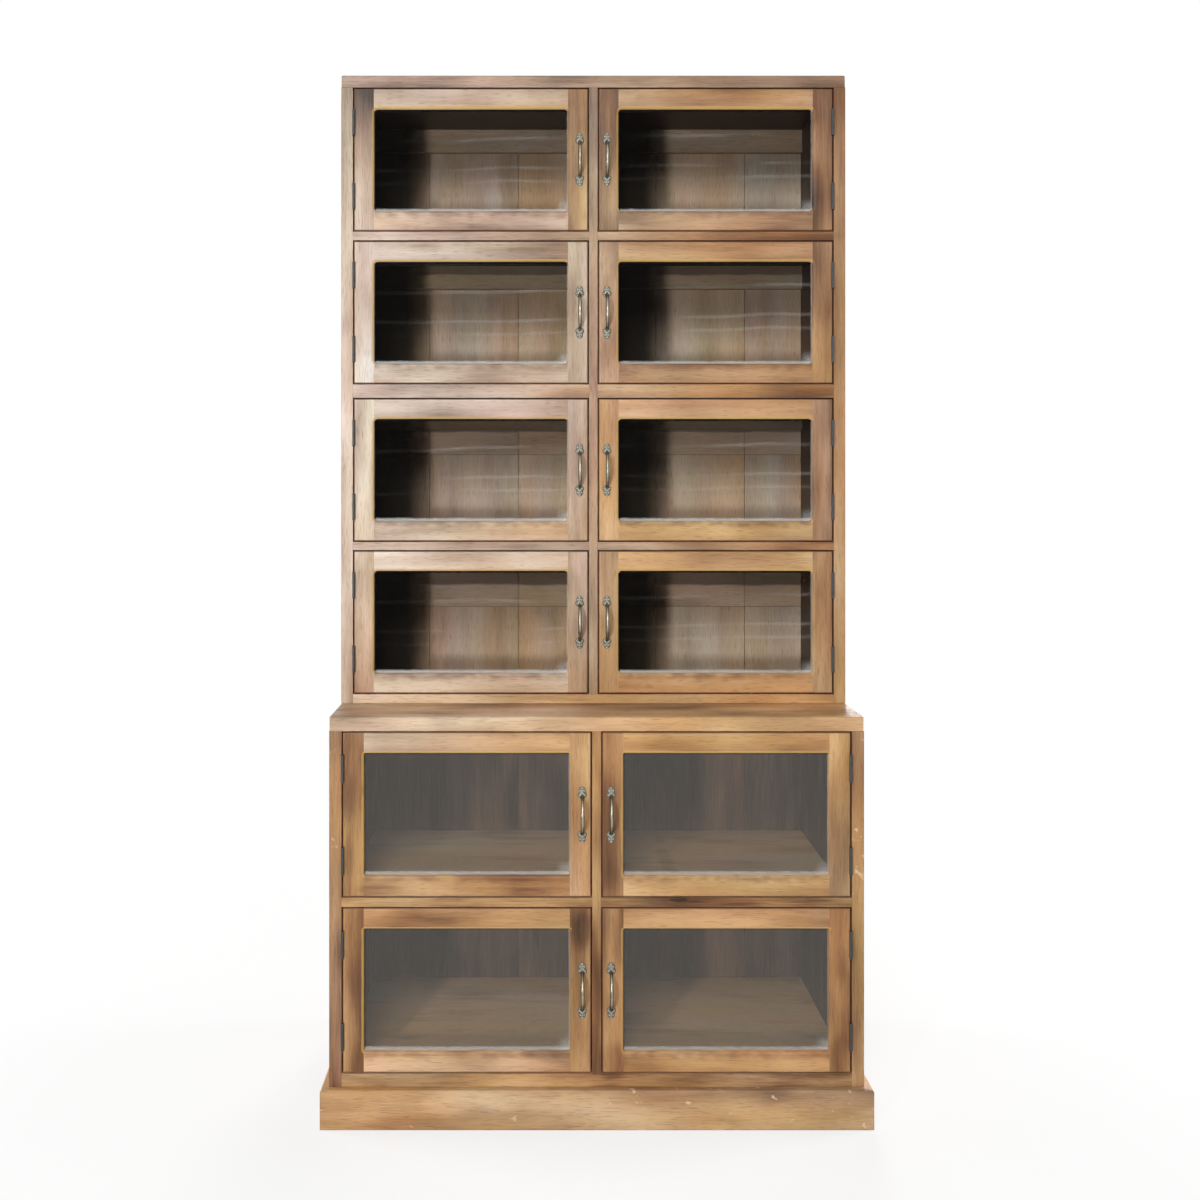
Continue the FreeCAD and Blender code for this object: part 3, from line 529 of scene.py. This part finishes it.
def caseFinish(name):
    # moulded plastic of the catches
    finish = Finish(name)
    speckle = finish.noise(finish.place(), plastic["speckle"], 1.0)
    return finish.done(finish.add("BsdfPrincipled", {
        "Base Color": finish.mix(speckle, plastic["dark"], plastic["pale"]),
        "Roughness": speckle * 0.2 + 0.4,
        "Normal": finish.bump(speckle, 0.2, plastic["relief"])}))


doorWood = memberFinish("doorWood")
antiqueBrass, greyBronze, blackIron, plainSteel = [
    metalFinish(name, *look) for name, look in metals.items()]
catchCase = caseFinish("catchCase")
print("wood, glass and metal mixed")


# Carcass boards stay as packed and take their wood here: grain axis, tone and warmth in the
# middle, how much each grows per metre to the right (a painted fall of the left lamp's light
# and sheen), seed, look, and the faces that differ by facing (painted shade and painted light)

# painted shade and painted light: tone changes for faces that turn inward, down or up
shaded, halfShaded, lit = -1.3, -0.85, 1.05
rightward, leftward, upward, downward, forward = (
    (1, 0, 0), (-1, 0, 0), (0, 0, 1), (0, 0, -1), (0, -1, 0))
boards = {
    "plinth_front": ("x", (0.36, 0.88, -0.22, 0.1), 1, knocked),
    "plinth_left": ("y", (0.25, 0.8), 2, oiled),
    "plinth_right": ("y", (0.2, 0.8), 3, oiled),
    "plinth_back": ("x", (-0.1, 0.6), 4, oiled),
    "plinth_corner_blocks": ("z", (-0.3, 0.5), 5, oiled),
    "base_left_side": ("z", (-0.2, 1.05), 6, broad, (rightward, halfShaded)),
    "base_right_side": ("z", (-0.1, 0.85), 7, broad, (leftward, halfShaded)),
    "base_bottom_board": ("x", (0.2, 1.0, -0.3), 8, inside, (upward, lit)),
    "base_shelf": ("x", (0.05, 1.0, -0.3), 9, inside, (downward, shaded), (upward, lit)),
    "base_divider": ("z", (-0.12, 1.0), 10, oiled, (rightward, halfShaded), (leftward, halfShaded)),
    "base_ledge_top": ("x", (0.26, 0.8, -0.1, 0.3), 11, oiled, (downward, shaded),
                       (upward, -0.25)),
    "upper_left_side": ("z", (0.1, 0.72), 12, broad, (rightward, shaded)),
    "upper_right_side": ("z", (-0.02, 0.85), 13, broad, (leftward, shaded)),
    "upper_bottom_board": ("x", (0.62, 0.85, -0.3, 0.4), 14, oiled, (downward, shaded)),
    "upper_divider": ("z", (-0.02, 0.55), 15, oiled, (rightward, shaded), (leftward, shaded)),
    "upper_top_board": ("x", (0.0, 0.5, -0.1, 0.4), 16, oiled, (downward, shaded)),
    "upper_shelves": ("x", (-0.03, 0.72, -0.1, 0.8), 17, oiled, (downward, shaded)),
    "base_back_planks": ("z", (-0.1, 0.45), 21, stillBack, (forward, -0.65)),
    "upper_back_planks": ("z", (-0.05, 0.42, 0.3), 22, shadedBayBack, (forward, 0.6)),
    "upper_back_rails": ("x", (0.36, 0.35), 23, shadedBayBack),
}
plankEdges = [bayLeft[0] + wide for wide in (130 * mm, 335 * mm)]
plankEdges += [-edge for edge in reversed(plankEdges)]
glued = {"base": (-0.1, 0.015, 0.13), "upper": (0.03, 0.135)}  # where the sides' boards meet


def seamsOf(node):
    # the axis that the boards of a node lie along, and where each next one starts
    if node.endswith("_side"):
        return 1, glued[node.split("_")[0]]
    if node.endswith("_planks"):
        return 0, plankEdges
    return (2, (1.27, 1.6)) if node == "upper_shelves" else None


def facePlanes(node):
    # where the faces of a node lie, with those between the faces of its box
    low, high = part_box(node)
    planes = [[low[axis], high[axis]] for axis in range(3)]
    if node.endswith("_planks"):
        planes[0] += plankEdges
    if node == "upper_shelves":
        planes[2] += (*bays[2], *bays[1])
    return planes


def coatNode(node, material):
    # only the material slots change: the mesh stays as packed
    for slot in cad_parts[node].material_slots:
        slot.link = "OBJECT"
        slot.material = material


for node, (along, marks, seed, look, *paintedLightByFacing) in boards.items():
    coatNode(node, boardFinish(node + "Wood", along, facePlanes(node), marks, seed, look,
                               seamsOf(node), paintedLightByFacing))
print("carcass coated")


# Shaping tools for the pieces made here

class Stock:
    # the points and faces of one piece, with the grain and marks that its material reads

    def __init__(self):
        self.points, self.faces, self.slots = [], [], []
        self.rims, self.layers = [], {"grain": [], "mark": [], "touch": []}
        self.known, self.part = {}, 0

    def nextPart(self, along="x", seed=0.0, tone=0.0, warmth=0.5, slot=0):
        # a board or casting of its own: its points aren't shared with its neighbours
        self.part += 1
        self.order, self.slot = axisOrder[along], slot
        self.shift = (seed * 3.1, seed * 0.7, 0)
        self.tone = (tone, warmth)

    def point(self, x, y, z, rim=0.0, gold=0.0, pale=0.0):
        key = (self.part, round(x, 7), round(y, 7), round(z, 7))
        if key not in self.known:
            self.known[key] = len(self.points)
            self.points.append((x, y, z))
            self.rims.append((rim, gold, pale))
        return self.known[key]

    def face(self, corners):
        ring = [c for i, c in enumerate(corners) if c != corners[i - 1]]
        if len(set(ring)) < 3:
            return
        self.faces.append(ring)
        self.slots.append(self.slot)
        for corner in ring:
            place = self.points[corner]
            rim, gold, pale = self.rims[corner]
            self.layers["grain"] += [place[self.order[i]] + self.shift[i] for i in range(3)]
            self.layers["mark"] += (*self.tone, rim)
            self.layers["touch"] += (gold, pale, 0)

    def skin(self, rings, around=True):
        # quads between neighbouring rows of points; rows that close in rings get end faces
        steps = len(rings[0])
        for first, second in zip(rings, rings[1:]):
            for i in range(steps if around else steps - 1):
                j = (i + 1) % steps
                self.face([first[i], first[j], second[j], second[i]])
        if around:
            self.face(rings[0])
            self.face(rings[-1])

    def piece(self, name, body, nodes, materials, slot, sharp=50):
        mesh = bpy.data.meshes.new(name)
        mesh.from_pydata(self.points, [], self.faces)
        for label, values in self.layers.items():
            layer = mesh.attributes.new(label, "FLOAT_VECTOR", "CORNER")
            layer.data.foreach_set("vector", values)
        for material in materials:
            mesh.materials.append(material)
        mesh.polygons.foreach_set("material_index", self.slots)
        shaped = bmesh.new()
        shaped.from_mesh(mesh)
        bmesh.ops.recalc_face_normals(shaped, faces=shaped.faces)
        shaped.to_mesh(mesh)
        shaped.free()
        mesh.shade_smooth()
        mesh.set_sharp_from_angle(angle=math.radians(sharp))
        made = placed(name, mesh)
        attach(made, body)
        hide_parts(*nodes)


def bar(stock, low, high, bevel, rim=0.7):
    # a straight piece with its twelve edges eased
    rings = []
    for level, inset in ((low[2], bevel), (low[2] + bevel, 0), (high[2] - bevel, 0),
                         (high[2], bevel)):
        ring = []
        for i, j in ((0, 0), (1, 0), (1, 1), (0, 1)):
            x, y = (low, high)[i][0], (low, high)[j][1]
            inX, inY = 1 - 2 * i, 1 - 2 * j
            pair = [(x + inX * inset, y + inY * bevel), (x + inX * bevel, y + inY * inset)]
            ring += [stock.point(*place, level, rim)
                     for place in (pair if i == j else reversed(pair))]
        rings.append(ring)
    stock.skin(rings)


def turned(stock, profile, centre, axis="z", sides=16):
    # a round piece: (radius, height, rim) along its axis
    rings = []
    for radius, height, rim in profile:
        ring = []
        for i in range(sides):
            turn = math.tau * i / sides
            u, v = radius * math.cos(turn), radius * math.sin(turn)
            place = {"x": (height, u, v), "y": (u, height, v), "z": (u, v, height)}[axis]
            ring.append(stock.point(*[c + p for c, p in zip(centre, place)], rim))
        rings.append(ring)
    stock.skin(rings)


# Door frames: stiles and rails, the inner edge rounded over in one pass of the cutter

frames = {
    "member": 41 * mm, "roundOver": 5.5 * mm, "lip": 8 * mm, "rebate": 8 * mm,
    "glass": 3 * mm, "arris": 1.4 * mm, "cornerSteps": 4, "between": 3, "roundSteps": 5,
    "corner": {"upper": 7.5 * mm, "base": 2.5 * mm},
    "plain": (2 * mm, 3 * mm), "side": (6 * mm, 9 * mm), "rear": 4 * mm,
    "bead": {"shy": 0.15 * mm, "ease": 0.8 * mm, "rim": 0.4, "tone": -0.2},
    # the pale is a painted highlight: full on the sill under the pane, faint elsewhere
    "goldShare": (1, 0.9, 0.15), "sillHighlightShare": (1, 0.15), "footTint": 0.55,
    "wood": {  # tone of the rails, left stile and right stile, and their warmth
        "upper_left": (0.35, 0.25, 0.2, 0.5), "upper_right": (0.3, 0.15, -0.05, 0.95),
        "base_left": (0.25, -0.1, 0.0, 0.9), "base_right": (0.25, -0.1, 0.0, 1.0)},
    "toneSpread": 0.125, "warmSpread": 0.2,
    "words": {  # what a board differs by: tone and warmth
        "dark": (-0.4, 0), "dim": (-0.2, 0), "light": (0.2, 0), "pale": (0.4, 0),
        "grey": (0, -0.4), "dull": (0, -0.2), "warm": (0, 0.2), "golden": (0, 0.4)},
    "odd": {  # boards from another plank than their neighbours: top, bottom, left, right
        "upper_left_door_1": "warm, dim, dark, light golden",
        "upper_right_door_1": "dull, light dull, dark, dark grey",
        "upper_left_door_2": "dark, dim, , light",
        "upper_right_door_2": "dim dull, dim warm, dull, dull",
        "upper_left_door_3": "dark, dim, , dim",
        "upper_right_door_3": "dim golden, light warm, light, grey",
        "upper_left_door_4": "pale golden, light warm, warm, golden",
        "upper_right_door_4": "pale, , dim, ",
        "base_left_door_1": "dull, dark, light, pale",
        "base_right_door_1": ", , warm, light",
        "base_left_door_2": "dim, warm, , ",
        "base_right_door_2": ", , , dim"},
}


class Opening:
    # where one door's faces and its sight opening lie

    def __init__(self, name):
        self.name, self.column = name, name.split("_door_")[0]
        low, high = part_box(name + "_frame")
        member = frames["member"]
        self.under, self.top, self.front, self.rear = low.z, high.z, low.y, high.y
        self.edgeX, self.edgeZ = {-1: low.x, 1: high.x}, {-1: low.z, 1: high.z}
        self.sightX = {-1: low.x + member, 1: high.x - member}
        self.sightZ = {-1: low.z + member, 1: high.z - member}
        self.corner = frames["corner"][name.split("_")[0]]
        self.outward = -1 if "left" in name else 1  # the hinge side
        self.rng = random.Random(name)

    def lockSide(self, inset):
        # a place this far in from the outer edge of the lock stile
        return self.edgeX[-self.outward] + self.outward * inset

    def roundCorner(self, sideX, sideZ, spread):
        radius = self.corner + spread
        centreX = self.sightX[sideX] - sideX * self.corner
        centreZ = self.sightZ[sideZ] - sideZ * self.corner
        joint = math.acos(min(1, self.corner / radius))
        steps = frames["cornerSteps"]
        turns = [0, joint / 2] + [joint + (math.pi / 2 - joint) * i / steps
                                  for i in range(steps + 1)]
        return [(centreX + sideX * radius * math.cos(t), centreZ + sideZ * radius * math.sin(t))
                for t in turns]

    def squareCorner(self, sideX, sideZ, edgeX, edgeZ):
        # the places on a square contour that pair with those of roundCorner
        x, steps = self.sightX[sideX], frames["cornerSteps"]
        return [(edgeX, self.sightZ[sideZ] - sideZ * self.corner), (edgeX, edgeZ)] + [
            (x - sideX * self.corner * i / steps, edgeZ) for i in range(steps + 1)]

    def contour(self, kind, spread):
        # places all round, clockwise from the lower end of the left upper corner
        places = []
        for sideX, sideZ in ((-1, 1), (1, 1), (1, -1), (-1, -1)):
            if kind == "round":
                run = self.roundCorner(sideX, sideZ, spread)
            else:
                x, z, out = ((self.sightX, self.sightZ, spread) if kind == "rebate"
                             else (self.edgeX, self.edgeZ, -spread))
                run = self.squareCorner(sideX, sideZ, x[sideX] + sideX * out,
                                        z[sideZ] + sideZ * out)
            if sideX * sideZ > 0:
                run.reverse()
            if places:
                places += self.steps(places[-1], run[0])
            places += run
        return places + self.steps(places[-1], places[0])

    def steps(self, start, end):
        count = frames["between"] + 1
        return [tuple(a + (b - a) * i / count for a, b in zip(start, end))
                for i in range(1, count)]


def memberNames():
    corner, between = frames["cornerSteps"], frames["between"] + 1
    rail, stile = 2 * corner + between, 4 + between
    return (["left"] * 2 + ["top"] * rail + ["right"] * stile + ["bottom"] * rail
            + ["left"] * (stile - 2))


def memberTones(opening):
    # tone, warmth and place in the plank of each member
    look, rng, tones = frames, opening.rng, {}
    rails, left, right, warm = look["wood"][opening.column]
    top, bottom, *stiles = look["odd"][opening.name].split(",")
    for member, tone, words in (("left", left, stiles[0]), ("top", rails, top),
                                ("right", right, stiles[1]), ("bottom", rails, bottom)):
        warmth = warm
        for word in words.split():
            tone += look["words"][word][0]
            warmth += look["words"][word][1]
        tones[member] = (tone + rng.uniform(-1, 1) * look["toneSpread"],
                         warmth + rng.uniform(-1, 1) * look["warmSpread"], rng.uniform(0, 40))
    return tones


def frameRings(opening):
    # contours from the pane round the moulding to the front face, over the outer edge and
    # back to the rebate, each with its share of rubbed, gold and pale wood; the pale is a
    # painted highlight, full on the sill under the pane
    look = frames
    over, lip, arris, steps = look["roundOver"], look["lip"], look["arris"], look["roundSteps"]
    thick = opening.rear - opening.front
    rings = [("round", 0, lip, 0, 0, 0.7), ("round", 0, over, 0, 0.3, 0.5)]
    for i in range(1, steps + 1):
        turn = math.pi / 2 * i / steps
        rings.append(("round", over * (1 - math.cos(turn)), over * (1 - math.sin(turn)), 0,
                      1 if i < steps else 0, 0))
    rings += [(*ring, 0, 0) for ring in (
        ("round", over + look["plain"][0], 0, 0), ("edge", look["plain"][1], 0, 0),
        ("edge", arris, 0, 0.9), ("edge", 0.3 * arris, 0.3 * arris, 1), ("edge", 0, arris, 1),
        ("edge", 0, look["side"][0], 1), ("edge", 0, look["side"][1], 0),
        ("edge", 0, thick - arris, 0.6), ("edge", arris, thick, 0.6),
        ("edge", look["rear"], thick, 0), ("rebate", look["rebate"], thick, 0),
        ("rebate", look["rebate"], lip, 0))]
    rows = []
    for kind, spread, depth, rim, gold, pale in rings:
        ring = []
        for x, z in opening.contour(kind, spread):
            upper, lower = z > opening.sightZ[1] - mm, z < opening.sightZ[-1] + mm
            leftHand = x < opening.sightX[-1] + mm
            share = look["goldShare"][0 if upper else 1 if leftHand else 2]
            within = opening.sightX[-1] < x < opening.sightX[1]
            moulded = kind == "round" and depth < over
            tint = look["footTint"] if lower and within and moulded else 0
            ring.append((x, opening.front + depth, z, max(rim, tint), gold * share,
                         pale * look["sillHighlightShare"][0 if lower else 1]))
        rows.append(ring)
    return rows


def shapeFrame(opening):
    stock, labels, tones = Stock(), memberNames(), memberTones(opening)
    rings = [[stock.point(*place) for place in ring] for ring in frameRings(opening)]
    for member, (tone, warmth, seed) in tones.items():
        stock.nextPart("z" if member in ("left", "right") else "x", seed, tone, warmth)
        for one, two in zip(rings, rings[1:] + rings[:1]):
            for i, label in enumerate(labels):
                if label == member:
                    j = (i + 1) % len(labels)
                    stock.face([one[i], one[j], two[j], two[i]])
    shapeBeads(stock, opening, tones)
    stock.piece(opening.name + "_woodwork", opening.name, [opening.name + "_frame"],
                [doorWood], "door_wood")


def shapeBeads(stock, opening, tones):
    # the strips that hold the pane: two full length, two between them
    look, bead = frames, frames["bead"]
    near, far = opening.front + look["lip"] + look["glass"], opening.rear
    reach, shy = look["rebate"], bead["shy"]
    x0, x1 = opening.sightX[-1] - reach + shy, opening.sightX[1] + reach - shy
    z0, z1 = opening.sightZ[-1] - reach + shy, opening.sightZ[1] + reach - shy
    strips = {
        "bottom": ("x", (x0, near, z0), (x1, far, z0 + reach)),
        "top": ("x", (x0, near, z1 - reach), (x1, far, z1)),
        "left": ("z", (x0, near, z0 + reach), (x0 + reach, far, z1 - reach)),
        "right": ("z", (x1 - reach, near, z0 + reach), (x1, far, z1 - reach)),
    }
    for member, (along, low, high) in strips.items():
        tone, warmth, seed = tones[member]
        stock.nextPart(along, seed + 3, tone + bead["tone"], warmth)
        bar(stock, low, high, bead["ease"], bead["rim"])


openings = [Opening(name) for name in frames["odd"]]
for opening in openings:
    shapeFrame(opening)
for part in ("upper", "base"):
    here = [opening for opening in openings if opening.column.startswith(part)]
    rims = {"foot": [o.sightZ[-1] for o in here], "head": [o.sightZ[1] for o in here],
            "left": [o.sightX[-1] for o in here], "right": [o.sightX[1] for o in here],
            "reflectedStreakLevels": [o.sightZ[1] + share * (o.sightZ[-1] - o.sightZ[1])
                      for o in here for share in film["lineAt"]]}
    rims = {side: sorted({round(level, 5) for level in levels}) for side, levels in rims.items()}
    glass = paneFinish(part + "Glass", panes[part], rims)
    for opening in here:
        coatNode(opening.name + "_glass", glass)
print(len(openings), "door frames shaped and glazed")


# Pulls: a cast bow between two leaf plates

pull = {
    "inset": 17 * mm, "span": 70 * mm, "rise": 24.3 * mm, "steps": 26, "sides": 16,
    "bend": 0.8,  # below 1 the rings lie closer near the feet
    "girth": [(0.0, 3.7), (0.35, 3.5), (0.68, 2.75), (0.82, 2.5), (0.88, 3.1), (0.93, 2.7),
              (1.0, 3.9)],
    "plateWide": 18 * mm, "plateLong": 23 * mm, "plateThick": 1.1 * mm, "swell": 2.0 * mm,
    "outline": [(0.0, 0.24), (0.08, 0.34), (0.2, 0.49), (0.34, 0.5), (0.47, 0.42), (0.58, 0.37),
                (0.7, 0.38), (0.83, 0.33), (0.94, 0.2), (1.0, 0.0)],
    "rows": 26, "columns": 16, "tuck": 3.3 * mm,
    "collar": [(5, 0, 0), (5, 1.6, 0.2), (4.5, 2.2, 0.5), (3.8, 2.5, 0.1), (3.7, 3.4, 0.1),
               (4.4, 4, 0.4), (4.2, 4.8, 0.4), (3.2, 5, 0.2)],
    "beads": [(0.0, 0.86, 1.7), (-0.31, 0.28, 1.8), (0.31, 0.28, 1.8), (0.0, 0.47, 1.9),
              (-0.16, 0.66, 1.3), (0.16, 0.66, 1.3)],
}


def between(pairs, at):
    # smooth value between the (place, value) pairs
    for (a, first), (b, second) in zip(pairs, pairs[1:]):
        if at <= b:
            share = (at - a) / (b - a)
            return first + (second - first) * share * share * (3 - 2 * share)
    return pairs[-1][1]


def shapePull(opening):
    look, stock = pull, Stock()
    x = opening.lockSide(look["inset"])
    middle = (opening.under + opening.top) / 2
    rise, half = look["rise"], look["span"] / 2
    radius = (half * half + rise * rise) / (2 * rise)
    reach = math.asin(half / radius)
    stock.nextPart()
    rings = []
    for i in range(look["steps"] + 1):
        share = 2 * i / look["steps"] - 1
        share = math.copysign(abs(share) ** look["bend"], share)
        turn = share * reach
        girth = between(look["girth"], abs(share)) * mm
        y = opening.front - rise + radius * (1 - math.cos(turn))
        z = middle + radius * math.sin(turn)
        ring = []
        for k in range(look["sides"]):
            around = math.tau * k / look["sides"]
            out, wide = girth * math.cos(around), girth * math.sin(around)
            # painted highlight along the front of the bow; painted shade on its sides and towards
            # its feet
            rim = 0.02 + 0.9 * max(0, math.cos(around)) ** 3 * (1 - abs(share) ** 3)
            ring.append(stock.point(x + wide, min(y - out * math.cos(turn), opening.front),
                                    z + out * math.sin(turn), rim))
        rings.append(ring)
    stock.skin(rings)
    for side in (1, -1):
        shapePlate(stock, opening.front, x, middle + side * (half - look["tuck"]), side)
        stock.nextPart()
        turned(stock, [(radius * mm, -out * mm, rim) for radius, out, rim in look["collar"]],
               (x, opening.front, middle + side * half), "y")
    stock.piece(opening.name + "_pull", opening.name, [opening.name + "_fittings"],
                [antiqueBrass, greyBronze], "pull_brass", 60)


def shapePlate(stock, face, x, start, side):
    # a leaf in low relief: two lobes, a waist and a rounded tip, ribbed and beaded
    look = pull
    wide, long = look["plateWide"], look["plateLong"]
    stock.nextPart(slot=1)
    rows = []
    for i in range(look["rows"] + 1):
        out = i / look["rows"]
        reach, z = between(look["outline"], out) * wide, start + side * out * long
        row = [stock.point(x - reach, face, z, 0.2)]
        for k in range(look["columns"] + 1):
            across = 2 * k / look["columns"] - 1
            dome = (1 - across * across) ** 0.5 if abs(across) < 1 else 0
            rib = 0.5 + 0.5 * math.cos(across * math.pi * 3) * math.cos(out * 11 - 0.8)
            swell = dome * 0.4
            if out < 0.86:
                swell = dome * math.sin(math.pi * min(1, out * 1.02 + 0.12)) ** 0.5
            height = look["plateThick"] + swell * look["swell"] * (0.6 + 0.4 * rib)
            rim = 0.05 + 0.85 * rib * rib * dome
            row.append(stock.point(x + across * reach, face - height, z, rim))
        row.append(stock.point(x + reach, face, z, 0.2))
        rows.append(row)
    stock.skin(rows, around=False)
    stock.face(rows[0])
    for across, out, size in look["beads"]:
        stock.nextPart(slot=1)
        size *= mm
        lift = look["plateThick"] + look["swell"] * 0.55
        turned(stock, [(size * math.cos(a), -lift - size * math.sin(a), 1)
                       for a in (0, 0.4, 0.8, 1.15, 1.45)],
               (x + across * wide, face, start + side * out * long), "y", 10)


for opening in openings:
    shapePull(opening)
print("pulls cast")


# Hinges: three knuckles on a pin, one leaf let into the case and one into the stile

hinge = {
    "long": 54 * mm, "inset": 45 * mm, "leaf": 1.2 * mm, "leafWide": 18 * mm,
    "proud": 0.3 * mm, "barrel": 3 * mm, "clear": 0.2 * mm, "slit": 0.2 * mm,
    "knuckleEase": 0.35 * mm, "leafEase": 0.2 * mm,
    "screws": [(0.17, 0.45), (0.5, 0.62), (0.83, 0.45)],  # shares of the leaf's length and width
    "screwHead": [(3.1 * mm, 0, 0.3), (2.48 * mm, 0.16 * mm, 0.9), (0.93 * mm, 0.22 * mm, 0.6)],
}
strike = {"inset": 80 * mm, "wide": 30 * mm, "high": 11 * mm, "thick": 1.2 * mm, "drop": 3 * mm,
          "ease": 0.25 * mm}


def knuckle(stock, centre, low, high):
    radius, ease = hinge["barrel"], hinge["knuckleEase"]
    stock.nextPart()
    turned(stock, [(radius * 0.4, low, 0.1), (radius - ease, low, 0.4),
                   (radius, low + ease, 1), (radius, high - ease, 1),
                   (radius - ease, high, 0.4), (radius * 0.4, high, 0.1)],
           (*centre, 0), "z", 20)


def leaf(stock, opening, under, plateX, towards):
    # a plate from its neck at the knuckles to its back edge, with three screws
    look = hinge
    stock.nextPart()
    bar(stock, (min(plateX), opening.front - look["clear"], under),
        (max(plateX), opening.front + look["leafWide"], under + look["long"]),
        look["leafEase"], 0.8)
    for up, deep in look["screws"]:
        stock.nextPart(slot=1)
        turned(stock, [(radius, towards * out, rim) for radius, out, rim in look["screwHead"]],
               (plateX[1], opening.front + deep * look["leafWide"], under + up * look["long"]),
               "x", 14)


def shapeHinges():
    look, caseSide = hinge, Stock()
    length = (look["long"] - 2 * look["slit"]) / 3
    step, sunk = length + look["slit"], look["leaf"] - look["proud"]
    for opening in openings:
        away = opening.outward
        edge = opening.edgeX[away]
        caseFace = edge + away * doorGap
        axis = caseFace + away * sunk - away * look["barrel"]
        centre = (axis, opening.front - look["barrel"] - look["clear"])
        doorSide = Stock()
        for under in (opening.under - doorGap + look["inset"],
                      opening.top + doorGap - look["inset"] - look["long"]):
            knuckle(caseSide, centre, under, under + length)
            knuckle(caseSide, centre, under + 2 * step, under + look["long"])
            leaf(caseSide, opening, under, (caseFace + away * sunk,
                                            caseFace - away * look["proud"]), -away)
            knuckle(doorSide, centre, under + step, under + step + length)
            leaf(doorSide, opening, under, (edge - away * sunk,
                                            edge + away * look["proud"]), away)
        shapeStrike(doorSide, opening)
        doorSide.piece(opening.name + "_ironwork", opening.name, [opening.name + "_fittings"],
                       [blackIron, plainSteel], "hinge_iron", 40)
    caseSide.piece("case_hinge_leaves", "cabinet", ["hinge_frame_leaves"],
                   [blackIron, plainSteel], "hinge_iron", 40)


def shapeStrike(stock, opening):
    # the steel plate that the catch holds
    look = strike
    middle = opening.lockSide(look["inset"])
    top = opening.top - look["drop"]
    stock.nextPart(slot=1)
    bar(stock, (middle - look["wide"] / 2, opening.rear, top - look["high"]),
        (middle + look["wide"] / 2, opening.rear + look["thick"], top), look["ease"], 0.9)


shapeHinges()
print("hinges and strikes fitted")


# Magnet catches: a moulded case with the magnet between two steel poles

catch = {
    "wide": 34 * mm, "high": 13 * mm, "deep": 15 * mm, "gap": 0.3 * mm,
    "magnet": (22 * mm, 3 * mm, 9 * mm), "pole": 1.2 * mm, "proud": 0.5 * mm,
    "caseEase": 0.8 * mm, "poleEase": 0.15 * mm,
}


def shapeCatches():
    look, stock = catch, Stock()
    for opening in openings:
        middle = opening.lockSide(strike["inset"])
        near = opening.rear + strike["thick"] + look["gap"]
        ceiling = opening.top + doorGap
        stock.nextPart()
        bar(stock, (middle - look["wide"] / 2, near + look["proud"], ceiling - look["high"]),
            (middle + look["wide"] / 2, near + look["deep"], ceiling), look["caseEase"])
        across, deep, high = look["magnet"]
        level = ceiling - look["high"] / 2
        for side in (-1, 1):
            stock.nextPart(slot=1)
            pole = level + side * (high / 2 - look["pole"] / 2)
            bar(stock, (middle - across / 2, near, pole - look["pole"] / 2),
                (middle + across / 2, near + deep, pole + look["pole"] / 2), look["poleEase"])
    stock.piece("magnet_catches", "cabinet", ["door_catches"], [catchCase, plainSteel],
                "catch_plastic", 40)


shapeCatches()
print("catches fitted")
